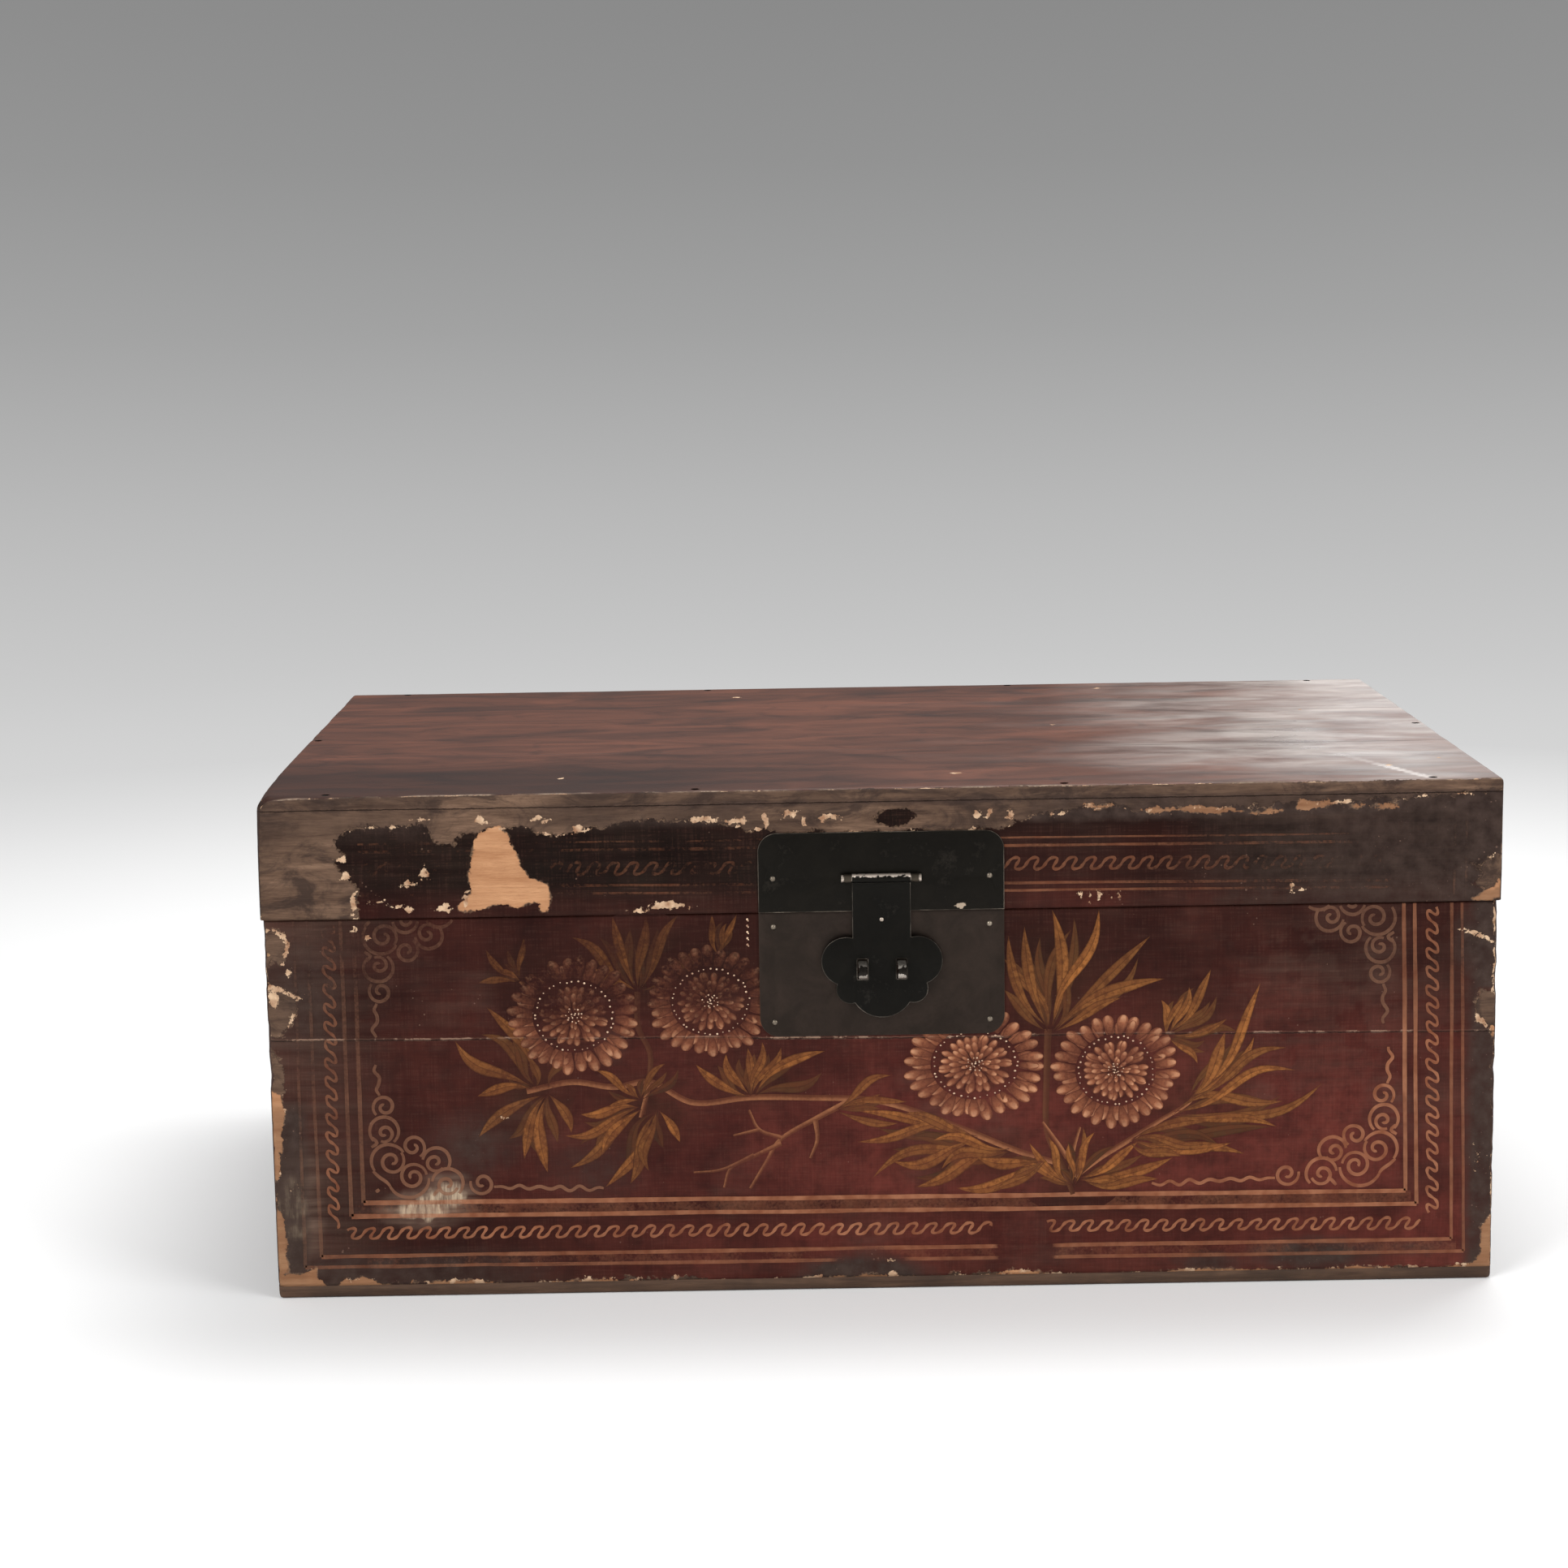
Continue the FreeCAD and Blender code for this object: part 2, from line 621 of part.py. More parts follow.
# Each hinge has a leaf on the lid with one knuckle, and a leaf on the box with two.
def hinge(side, x):
    place = (x, BOX_BACK, "seam_height + seam_gap / 2")
    notch = "(barrel_radius + notch_clearance)"
    third = "(leaf_width / 6)"
    knuckles = {
        "lid": [(f"(-{third} + knuckle_gap / 2)", f"({third} - knuckle_gap / 2)")],
        "box": [
            ("(-leaf_width / 2)", f"(-{third} - knuckle_gap / 2)"),
            (f"({third} + knuckle_gap / 2)", "(leaf_width / 2)"),
        ],
    }
    for owner, sign in (("lid", 1), ("box", -1)):
        label = f"hinge_{side}_{owner}_leaf"
        body = new_body(label, BACK, place)
        low = notch if sign > 0 else "-leaf_height"
        high = "leaf_height" if sign > 0 else f"-{notch}"
        box_pad(
            body, label + "_plate",
            ("-leaf_width / 2", "-leaf_thickness", low), ("leaf_width / 2", "0", high),
        )
        doc.recompute()
        far = body.Tip.Shape.BoundBox.ZMax if sign > 0 else body.Tip.Shape.BoundBox.ZMin
        thickness = body.Tip.Shape.BoundBox.YLength

        def at_far_corner(edge):
            return abs(edge.BoundBox.YLength - thickness) < 0.01 and near_plane(edge, "z", far)

        round_edges(body, "leaf_corner", at_far_corner)
        for number, (start, end) in enumerate(knuckles[owner], start=1):
            root_low = "0" if sign > 0 else f"-{notch}"
            root_high = notch if sign > 0 else "0"
            low_corner, high_corner = (start, "-leaf_thickness", root_low), (end, "0", root_high)
            box_pad(body, f"{label}_root_{number}", low_corner, high_corner)
            rod_pad(
                body, f"{label}_knuckle_{number}", start, f"{end} - {start}", "-barrel_radius", "0",
                "barrel_radius",
            )
        rod_pocket(
            body, label + "_bore", "-leaf_width / 2", "leaf_width", "-barrel_radius", "0",
            "hinge_pin_radius + fit_clearance",
        )
        plate_holes(body, [(hx, hz, "leaf_thickness") for hx, hz in leaf_nails(sign)])
    pin = new_body(f"hinge_{side}_pin", BACK, place)
    reach = "(leaf_width / 2 + knuckle_gap)"
    name = f"hinge_{side}_pin"
    rod_pad(pin, name + "_rod", f"-{reach}", f"2 * {reach}", "-barrel_radius", "0", "hinge_pin_radius")
    for end, start in (("left", f"-{reach} - pin_head_length"), ("right", reach)):
        rod_pad(pin, f"{name}_{end}_head", start, "pin_head_length", "-barrel_radius", "0", "pin_head_radius")


def leaf_nails(sign):
    """Four nail places in a leaf, above the pin for sign 1 and below it for sign -1."""
    across = ["leaf_width / 2 - nail_inset", "nail_inset - leaf_width / 2"]
    heights = ["leaf_height - nail_inset", "barrel_radius + nail_inset"]
    return [(x, f"{sign} * ({z})") for x in across for z in heights]


# Bail handles hang in two eyes on each end of the box. A round rose lies under each eye.
def handle(side, turn, x):
    place = (x, BOX_MIDDLE, HANDLE_HEIGHT)
    spread = "handle_eye_spacing / 2"
    inner = "rod_radius + hole_clearance"
    axis_y = f"(rose_thickness + handle_standoff + {inner} + handle_strip)"
    for end, sign in (("front", 1), ("back", -1)):
        shift = f"({BOX_MIDDLE} - ({sign} * {spread}))"
        eye_place = (x, shift, HANDLE_HEIGHT)
        rose = new_body(f"{side}_handle_rose_{end}", turn, eye_place)
        disc = circle(rose, rose.Name + "_disc", "XZ_Plane", ("0", "0", "0"), "rose_radius")
        pad(rose, disc, "rose_thickness")
        shank = "(handle_strip + eye_gap / 2 + hole_clearance)"
        half = "(handle_eye_width / 2 + hole_clearance)"
        box_pocket(
            rose, rose.Name + "_slot",
            (f"-{half}", "-rose_thickness", f"-{shank}"), (half, "0", shank),
        )
        eye(f"{side}_handle_eye_{end}", turn, eye_place, axis_y, inner, "handle_strip", "handle_eye_width")
    bail(f"{side}_handle_bail", turn, place, axis_y)


def bail(label, turn, place, axis_y):
    body = new_body(label, turn, place)
    outer = "(handle_eye_spacing / 2 + bail_overhang)"
    tip = "(handle_eye_spacing / 2 - bail_inset)"
    path = sketch_on(body, label + "_path", "XZ_Plane", ("0", "0", axis_y))
    wide, tall, bend, inset = 60, 50, 10, 40
    corner = bend * (1 - math.sqrt(0.5))
    lines = [
        ((-inset, 0), (bend - wide, 0)),
        ((-wide, -bend), (-wide, bend - tall)),
        ((bend - wide, -tall), (wide - bend, -tall)),
        ((wide, bend - tall), (wide, -bend)),
        ((wide - bend, 0), (inset, 0)),
    ]
    for start, end in lines:
        path.addGeometry(Part.LineSegment(Vector(*start, 0), Vector(*end, 0)))
    for across, up in ((-1, 0), (-1, -1), (1, -1), (1, 0)):
        start = Vector(across * (wide - bend), -tall if up else 0, 0)
        end = Vector(across * wide, bend - tall if up else -bend, 0)
        middle = Vector(across * (wide - corner), corner - tall if up else -corner, 0)
        if (across < 0) == (up == 0):
            path.addGeometry(Part.Arc(start, middle, end))
        else:
            path.addGeometry(Part.Arc(end, middle, start))
    for line in (0, 2, 4):
        path.addConstraint(Sketcher.Constraint("Horizontal", line))
    for line in (1, 3):
        path.addConstraint(Sketcher.Constraint("Vertical", line))
    link_arcs(path)
    path.addConstraint(Sketcher.Constraint("Symmetric", 0, 1, 4, 2, -2))
    path.addConstraint(Sketcher.Constraint("PointOnObject", 0, 1, -1))
    for arc in (6, 7, 8):
        path.addConstraint(Sketcher.Constraint("Equal", 5, arc))
    dimension(path, "bend", "bail_bend", "Radius", 5)
    dimension(path, "aside", outer, "DistanceX", -1, 1, 3, 2)
    dimension(path, "across", f"2 * {outer}", "DistanceX", 1, 1, 3, 2)
    dimension(path, "tips", f"2 * {tip}", "DistanceX", 0, 1, 4, 2)
    dimension(path, "drop", "bail_drop", "DistanceY", 2, 1, 0, 1)
    section = circle(body, label + "_section", "YZ_Plane", (f"-({axis_y})", "0", f"-{tip}"), "rod_radius")
    pipe = body.newObject("PartDesign::AdditivePipe", label + "_rod")
    pipe.Profile = section
    pipe.Spine = path
    body.Tip = pipe
    for end, start in (("near", f"-{tip}"), ("far", f"{tip} - bail_head_length")):
        name = f"{label}_{end}_head"
        rod_pad(body, name, start, "bail_head_length", f"-({axis_y})", "0", "bail_head_radius")


def link_arcs(path):
    """Joins each line of the bail's path to the arc beside it, smoothly."""
    ends = {}
    for index in range(9):
        for point in (1, 2):
            ends[(index, point)] = path.getPoint(index, point)
    for arc in range(5, 9):
        for arc_point in (1, 2):
            for line in range(5):
                for line_point in (1, 2):
                    apart = ends[(arc, arc_point)].distanceToPoint(ends[(line, line_point)])
                    if apart < 0.01:
                        joined = Sketcher.Constraint("Tangent", arc, arc_point, line, line_point)
                        path.addConstraint(joined)


def handles():
    handle("left", LEFT, f"-{BOX_WIDTH} / 2")
    handle("right", RIGHT, f"{BOX_WIDTH} / 2")


# Nails. A domed nail is brass and shows; a spike is iron and lies flush; a brad is a short spike.
TO_BACK, TO_FRONT = Vector(0, 1, 0), Vector(0, -1, 0)
TO_RIGHT, TO_LEFT = Vector(1, 0, 0), Vector(-1, 0, 0)
UP, DOWN = Vector(0, 0, 1), Vector(0, 0, -1)


def nail_shape(head_radius, dome, head_thickness, shank_radius, length):
    """A nail along -Z with the underside of a dome, or the top of a flat head, at the origin."""
    tip = 2 * shank_radius
    edges = []
    if dome:
        rise = Vector(head_radius * math.sin(math.pi / 4), 0, dome * math.cos(math.pi / 4))
        edges.append(Part.Arc(Vector(0, 0, dome), rise, Vector(head_radius, 0, 0)).toShape())
        corners = [(head_radius, 0)]
    else:
        corners = [(0, 0), (head_radius, 0), (head_radius, -head_thickness)]
    under = 0 if dome else -head_thickness
    corners += [(shank_radius, under), (shank_radius, tip - length), (0, -length), (0, dome)]
    points = [Vector(across, 0, up) for across, up in corners]
    edges += [Part.makeLine(a, b) for a, b in zip(points, points[1:]) if a.distanceToPoint(b) > 0]
    face = Part.Face(Part.Wire(Part.__sortEdges__(edges)))
    return face.revolve(Vector(), Vector(0, 0, 1), 360)


def nails(label, shape, places):
    """A group of nails. Each of places holds a point and the way that the nail is driven."""
    copies = []
    for point, inwards in places:
        copy = shape.copy()
        copy.Placement = Placement(point, Rotation(Vector(0, 0, -1), inwards))
        copies.append(copy)
    group = doc.addObject("Part::Feature", label)
    group.Label = label
    group.Shape = Part.makeCompound(copies)
    return group


def value(formula):
    """The number that a formula of aliases gives."""
    probe = doc.getObject("Probe") or doc.addObject("Part::Vertex", "Probe")
    bind(probe, "X", formula)
    probe.recompute()
    return probe.X.Value


def brass_nails():
    domed = nail_shape(
        size("dome_radius"), size("dome_height"), 0, size("shank_radius"), size("shank_length")
    )
    sheet_front = size("plate_thickness")
    lid_y, box_y = -value(LID_FRONT) - sheet_front, -value(BOX_FRONT) - sheet_front
    upper = [Vector(value(x), lid_y, value(f"{LID_BOTTOM} + ({z})")) for x, z in UPPER_NAILS]
    lower = [Vector(value(x), box_y, value(f"seam_height + ({z})")) for x, z in LOWER_NAILS]
    nails("lock_plate_upper_nails", domed, [(point, TO_BACK) for point in upper])
    nails("lock_plate_lower_nails", domed, [(point, TO_BACK) for point in lower])
    leaf_y = value(BOX_BACK) + size("leaf_thickness")
    pin_z = value("seam_height + seam_gap / 2")
    for owner, sign in (("lid", 1), ("box", -1)):
        places = [
            Vector(centre * size("hinge_spacing") / 2 - value(x), leaf_y, pin_z + value(z))
            for centre in (-1, 1)
            for x, z in leaf_nails(sign)
        ]
        nails(f"hinge_{owner}_nails", domed, [(point, TO_FRONT) for point in places])


def rivet():
    shape = nail_shape(
        size("rivet_radius"), size("rivet_radius") / 2, 0,
        size("rivet_radius") / 2, size("hasp_thickness") + size("rivet_radius") / 2,
    )
    y = -value(f"{LID_FRONT} + {HASP_AXIS_Y} - hasp_knuckle_radius + hasp_thickness")
    place = Vector(0, y, value(f"{LID_BOTTOM} + hasp_rise - rivet_drop"))
    nails("hasp_rivet", shape, [(place, TO_BACK)])


def along(low, high, count):
    """Evenly spaced places from low to high, with count naming how many."""
    last = round(size(count)) - 1
    return [low + (high - low) * n / last for n in range(last + 1)]


def rows_round(half_width, front, back, height):
    """Nail places round a rectangle: a row along the front and the back, and one between at each end."""
    inset = size("spike_inset")
    xs = along(inset - half_width, half_width - inset, "spikes_along")
    long_rows = [Vector(x, y, height) for y in (front, back) for x in xs]
    middle = (front + back) / 2
    ends = [Vector(x, middle, height) for x in (-half_width, half_width)]
    return long_rows + ends


def iron_nails():
    spike = nail_shape(
        size("spike_head_radius"), 0, size("spike_head_thickness"), size("spike_radius"),
        size("spike_length"),
    )
    half_wall = size("wall") / 2
    half_box = value(f"{BOX_WIDTH} / 2") - half_wall
    front, back = half_wall - value(BOX_FRONT), value(BOX_BACK) - half_wall
    nails("bottom_nails", spike, [(point, UP) for point in rows_round(half_box, front, back, 0)])
    top = value(f"{LID_TOP_UNDERSIDE} + top_thickness")
    half_lid = value("lid_width / 2") - half_wall
    front = half_wall - value(LID_FRONT)
    nails("lid_top_nails", spike, [(point, DOWN) for point in rows_round(half_lid, front, back, top)])


def lip_nails():
    brad = nail_shape(
        size("brad_head_radius"), 0, size("brad_head_thickness"), size("shank_radius"), size("brad_length")
    )
    z = value("seam_height - lip_below / 2")
    inset = size("spike_inset")
    inner_face = size("wall") + size("lip_thickness")
    half_width = value(f"{BOX_WIDTH} / 2") - inner_face
    front, back = inner_face - value(BOX_FRONT), value(BOX_BACK) - inner_face
    places = []
    for x in along(inset - half_width, half_width - inset, "brads_along"):
        places += [(Vector(x, front, z), TO_FRONT), (Vector(x, back, z), TO_BACK)]
    for y in along(front + inset, back - inset, "brads_across"):
        places += [(Vector(-half_width, y, z), TO_LEFT), (Vector(half_width, y, z), TO_RIGHT)]
    nails("lip_nails", brad, places)


def cut_for(board, *tools):
    """The board with holes for the legs that are driven through it. It takes over the board's label."""
    label = board.Label
    board.Label = label + "_solid"
    for number, tool in enumerate(tools):
        cut = doc.addObject("Part::Cut", f"{label}_cut_{number + 1}")
        cut.Base = board
        cut.Tool = tool
        board = cut
    board.Label = label
    return board


def by_label(label):
    return doc.getObjectsByLabel(label)[0]


def build():
    trunk_boards()
    planks("bottom", BOX_WIDTH, BOX_DEPTH, BOX_FRONT, "0", "bottom_thickness", False)
    planks("lid_top", "lid_width", "lid_depth", LID_FRONT, LID_TOP_UNDERSIDE, "top_thickness", True)
    lip()
    lock_plates()
    hasp()
    hasp_pin()
    hasp_eyes()
    lock_staple("lock_staple_left", "-staple_spacing / 2")
    lock_staple("lock_staple_right", "staple_spacing / 2")
    hinge("left", "-hinge_spacing / 2")
    hinge("right", "hinge_spacing / 2")
    handles()
    brass_nails()
    rivet()
    iron_nails()
    lip_nails()
    doc.recompute()
    cuts = {
        "front_upper_board": ["lock_staple_left", "lock_staple_right"],
        "lid_front_board": ["hasp_eye_left", "hasp_eye_right"],
        "left_upper_board": ["left_handle_eye_front", "left_handle_eye_back"],
        "right_upper_board": ["right_handle_eye_front", "right_handle_eye_back"],
    }
    tools = [by_label(name) for names in cuts.values() for name in names]
    for board, names in cuts.items():
        cut_for(by_label(board), *[by_label(name) for name in names])
    doc.recompute()
    steps = {thing.Name for cut in doc.findObjects("Part::Cut") for thing in (cut.Base, cut.Tool)}
    steps -= {tool.Name for tool in tools}
    kinds = ("PartDesign::Body", "Part::Feature", "Part::Cut")
    return [thing for thing in doc.Objects if thing.TypeId in kinds and thing.Name not in steps]


def check_and_write(nodes):
    for thing in doc.Objects:
        if any(word in thing.State for word in ("Invalid", "Error")):
            raise RuntimeError(f"{thing.Label} failed: {thing.State}")
    os.makedirs(OUT, exist_ok=True)
    for node in nodes:
        if node.Shape.isNull() or not node.Shape.isValid() or not node.Shape.Solids:
            raise RuntimeError(f"{node.Label} has no valid solid")
    for node in nodes:
        node.Shape.exportStep(f"{OUT}/{node.Label}.step")
    print(f"{len(nodes)} nodes, {sum(len(node.Shape.Solids) for node in nodes)} solids")


check_and_write(build())
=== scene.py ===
import math

import bmesh
import bpy
import numpy as np
from mathutils import Matrix, Vector


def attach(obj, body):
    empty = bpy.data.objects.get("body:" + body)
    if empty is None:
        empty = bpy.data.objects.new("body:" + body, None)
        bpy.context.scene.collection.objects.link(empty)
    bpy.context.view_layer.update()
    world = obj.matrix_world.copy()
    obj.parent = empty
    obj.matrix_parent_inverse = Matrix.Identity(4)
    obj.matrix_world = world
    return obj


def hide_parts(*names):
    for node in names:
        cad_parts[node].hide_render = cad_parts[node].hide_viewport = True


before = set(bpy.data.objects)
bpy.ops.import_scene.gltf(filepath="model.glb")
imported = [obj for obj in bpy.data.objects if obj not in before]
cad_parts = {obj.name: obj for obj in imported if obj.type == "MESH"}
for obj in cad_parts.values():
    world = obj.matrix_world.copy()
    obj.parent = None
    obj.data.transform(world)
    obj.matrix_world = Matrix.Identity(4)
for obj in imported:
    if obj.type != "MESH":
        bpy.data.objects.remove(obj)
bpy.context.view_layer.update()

# Studio: a pale floor that curves up into a round backdrop, so the trunk can be seen from all sides,
# soft lamps, and the camera in front of the trunk, a little above its lid.


def shade(red, green, blue):
    """A colour as it is seen, 0 to 255 a part, as the shaders' linear colour."""
    parts = [part / 255 for part in (red, green, blue)]
    return [part / 12.92 if part <= 0.04045 else ((part + 0.055) / 1.055) ** 2.4 for part in parts] + [1]


class Wire:
    """One output of a node. Arithmetic on it adds Math nodes, so that a formula reads as one."""

    def __init__(self, net, socket):
        self.net, self.socket = net, socket

    def __abs__(self):
        return self.net.math("ABSOLUTE", self)


for sign, operation in (("add", "ADD"), ("sub", "SUBTRACT"), ("mul", "MULTIPLY"), ("truediv", "DIVIDE"),
                        ("pow", "POWER"), ("mod", "MODULO")):
    setattr(Wire, f"__{sign}__", lambda self, other, step=operation: self.net.math(step, self, other))
    setattr(Wire, f"__r{sign}__", lambda self, other, step=operation: self.net.math(step, other, self))


def held(wire):
    """Keeps the result of a Math node between 0 and 1."""
    wire.socket.node.use_clamp = True
    return wire


class Net:
    """A node tree that is built node by node. A socket is given a number, a seen colour of three parts
    from 0 to 255, a shader's colour of four parts, or another node's output."""

    def __init__(self, tree):
        self.tree = tree

    def fill(self, made, sockets):
        for key, value in sockets.items():
            socket, value = made.inputs[key], getattr(value, "socket", value)
            if isinstance(value, bpy.types.NodeSocket):
                self.tree.links.new(value, socket)
            elif socket.type == "RGBA" and len(value) == 3:
                socket.default_value = shade(*value)
            else:
                socket.default_value = value
        return made

    def node(self, kind, sockets=None, **settings):
        made = self.tree.nodes.new(kind)
        for name, value in settings.items():
            setattr(made, name, value)
        return self.fill(made, sockets or {})

    def put(self, kind, sockets=None, output=0, **settings):
        """Adds a node and gives one of its outputs."""
        return Wire(self, self.node(kind, sockets, **settings).outputs[output])

    def wires(self, kind, sockets=None, **settings):
        """Adds a node and gives all its outputs by name."""
        return {socket.name: Wire(self, socket) for socket in self.node(kind, sockets, **settings).outputs}

    def math(self, operation, first, second=0.0):
        return self.put("ShaderNodeMath", {0: first, 1: second}, operation=operation)

    def vector(self, operation, first, *second, output=0, **sockets):
        inputs = dict(enumerate((first, *second))) | sockets
        return self.put("ShaderNodeVectorMath", inputs, output, operation=operation)

    def xyz(self, **parts):
        return self.put("ShaderNodeCombineXYZ", parts)

    def span(self, value, low, high, out_low=0.0, out_high=1.0):
        """Maps low to high on out_low to out_high, and stays there outside."""
        return self.put("ShaderNodeMapRange", {"Value": value, "From Min": low, "From Max": high,
                                               "To Min": out_low, "To Max": out_high})

    def blend(self, amount, first, second):
        return self.put("ShaderNodeMix", {0: amount, 2: first, 3: second})

    def mix(self, amount, first, second, mode="MIX"):
        """Blends two colours."""
        sockets = {0: amount, 6: first, 7: second}
        return self.put("ShaderNodeMix", sockets, 2, data_type="RGBA", blend_type=mode)

    def layers(self, ground, *coats):
        """Lays colours over a ground in turn, each as its mask says."""
        for mask, colour in coats:
            ground = self.mix(mask, ground, colour)
        return ground

    def noise(self, place, scale, detail=3.0, roughness=0.55, distortion=0.0, stretch=None):
        """Noise from 0 to 1 at a place in metres, in features per metre, drawn out along an axis by stretch."""
        if stretch is not None:
            place = self.put("ShaderNodeMapping", {"Vector": place, "Scale": stretch})
        return self.put("ShaderNodeTexNoise", {"Vector": place, "Scale": scale, "Detail": detail,
                                               "Roughness": roughness, "Distortion": distortion}, "Fac")

    def read(self, attribute):
        return self.put("ShaderNodeAttribute", output="Fac", attribute_name=attribute)

    def place(self):
        """The place on the piece, in metres."""
        return self.put("ShaderNodeTexCoord", output="Object")

    def random(self, low, high, seed):
        return self.put("FunctionNodeRandomValue", {2: low, 3: high, "Seed": seed}, 1)

    def group(self, other, values):
        """Uses another net as one node and gives its outputs by name."""
        return self.wires("ShaderNodeGroup", values, node_tree=other.tree)

    def dress(self, surface, colour, roughness, height, strength, shine=0.5, depth=0.0004):
        """Gives a Principled shader its look. Depth is the relief's, in metres."""
        relief = self.put("ShaderNodeBump", {"Strength": strength, "Distance": depth, "Height": height})
        self.fill(surface, {"Base Color": colour, "Roughness": roughness, "Specular IOR Level": shine,
                            "Normal": relief})


def new_material(name):
    """An empty material with its net, and its Principled shader joined to its output."""
    made = bpy.data.materials.new(name)
    made.use_nodes = True
    made.node_tree.nodes.clear()
    net = Net(made.node_tree)
    surface = net.node("ShaderNodeBsdfPrincipled")
    net.node("ShaderNodeOutputMaterial", {"Surface": surface.outputs[0]})
    return made, net, surface


def new_group(name, family, inputs, outputs):
    """A node group with its inputs and outputs. An input is given as its kind, or as a number to start from."""
    net = Net(bpy.data.node_groups.new(name, family))
    for way, sockets in (("INPUT", inputs), ("OUTPUT", outputs)):
        for label, value in sockets.items():
            kind = value if isinstance(value, str) else type(value).__name__.capitalize()
            socket = net.tree.interface.new_socket(label, in_out=way, socket_type="NodeSocket" + kind)
            if kind != value:
                socket.default_value = value
    return net, net.wires("NodeGroupInput"), net.node("NodeGroupOutput")


shader_outputs = {"Color": "Color", "Roughness": "Float", "Height": "Float"}

backdrop_radius, backdrop_curve, backdrop_height = 4.4, 1.2, 4.0
profile = [(radius, 0.0) for radius in (0.01, 0.5, 1.0, 1.6, 2.2, 2.8, backdrop_radius - backdrop_curve)]
for step in range(1, 13):
    turn = step / 12 * math.pi / 2
    profile.append((
        backdrop_radius - backdrop_curve + backdrop_curve * math.sin(turn),
        backdrop_curve - backdrop_curve * math.cos(turn),
    ))
profile.append((backdrop_radius, backdrop_height))
around = 96
points, quads = [], []
for radius, height in profile:
    for step in range(around):
        turn = 2 * math.pi * step / around
        points.append((radius * math.cos(turn), radius * math.sin(turn), height))
for ring in range(len(profile) - 1):
    for step in range(around):
        following = (step + 1) % around
        quads.append((ring * around + step, (ring + 1) * around + step,
                      (ring + 1) * around + following, ring * around + following))
quads.append(tuple(range(around)))
studio_mesh = bpy.data.meshes.new("studio_floor")
studio_mesh.from_pydata(points, [], quads)
studio_mesh.polygons.foreach_set("use_smooth", [True] * len(studio_mesh.polygons))
studio = bpy.data.objects.new("studio_floor", studio_mesh)
bpy.context.collection.objects.link(studio)

studio_material, net, surface = new_material("studio_paper")
place = net.place()
away = net.vector("LENGTH", place, output="Value")
parts = net.wires("ShaderNodeSeparateXYZ", {0: place})
# The backdrop wall glows with painted light: bright by the floor, darker higher up and further back. Camera and
# glossy rays see this glow, and other rays pass through the wall.
rise = net.node("ShaderNodeValToRGB", {0: net.span(parts["Z"], 0.0, 2.0)})
deep = net.node("ShaderNodeValToRGB", {0: net.span(parts["Y"], -0.4, 4.4)})
for node, stops in (
        (rise, ((0, 1.0), (0.12, 0.89), (0.29, 0.70), (0.46, 0.575), (0.61, 0.515), (1, 0.45))),
        (deep, ((0, 1.0), (0.06, 1.0), (0.21, 0.86), (0.44, 0.694), (0.81, 0.565), (1, 0.50)))):
    ramp = node.color_ramp.elements
    ramp[0].color, ramp[1].color = (1, 1, 1, 1), [stops[-1][1]] * 3 + [1]
    for position, level in stops[1:-1]:
        ramp.new(position).color = (level, level, level, 1)
painted_backdrop_light = net.mix(1.0, rise.outputs["Color"], deep.outputs["Color"], "MULTIPLY")
seen = net.wires("ShaderNodeLightPath")
looked_at = held(seen["Is Camera Ray"] + seen["Is Glossy Ray"] + seen["Is Transmission Ray"])
net.fill(surface, {"Base Color": (0.86, 0.86, 0.86, 1), "Roughness": 0.9, "Specular IOR Level": 0.1,
                   "Emission Color": (1, 1, 1, 1), "Emission Strength": looked_at * 0.05})
glow = net.put("ShaderNodeEmission", {"Color": painted_backdrop_light, "Strength": 1.0})
wall = net.put("ShaderNodeMixShader", {0: looked_at, 1: net.put("ShaderNodeBsdfTransparent"), 2: glow})
whole = net.put("ShaderNodeMixShader", {0: net.span(away, 1.1, 2.4), 1: surface.outputs[0], 2: wall})
output = next(item for item in net.tree.nodes if item.type == "OUTPUT_MATERIAL")
net.fill(output, {"Surface": whole})
studio_mesh.materials.append(studio_material)

world = bpy.data.worlds.new("studio_air")
bpy.context.scene.world = world
world.use_nodes = True
world.node_tree.nodes["Background"].inputs["Color"].default_value = (1, 1, 1, 1)
world.node_tree.nodes["Background"].inputs["Strength"].default_value = 0.42


def lamp(name, position, target, width, height, power):
    light = bpy.data.lights.new(name, "AREA")
    light.shape, light.size, light.size_y, light.energy = "RECTANGLE", width, height, power
    holder = bpy.data.objects.new(name, light)
    holder.location = position
    holder.rotation_euler = (Vector(target) - Vector(position)).to_track_quat("-Z", "Y").to_euler()
    holder.visible_camera = False
    bpy.context.collection.objects.link(holder)


lamp("softbox_left", (-2.0, -2.4, 2.2), (0, 0, 0.15), 1.6, 1.2, 62)
lamp("softbox_right", (2.3, -1.9, 1.9), (0, 0, 0.15), 1.6, 1.2, 40)
lamp("softbox_above", (0.5, 0.95, 2.9), (0, 0, 0), 1.8, 1.2, 62)
lamp("softbox_behind", (1.3, 2.9, 1.0), (0.2, 0, 0.35), 1.0, 0.9, 5)

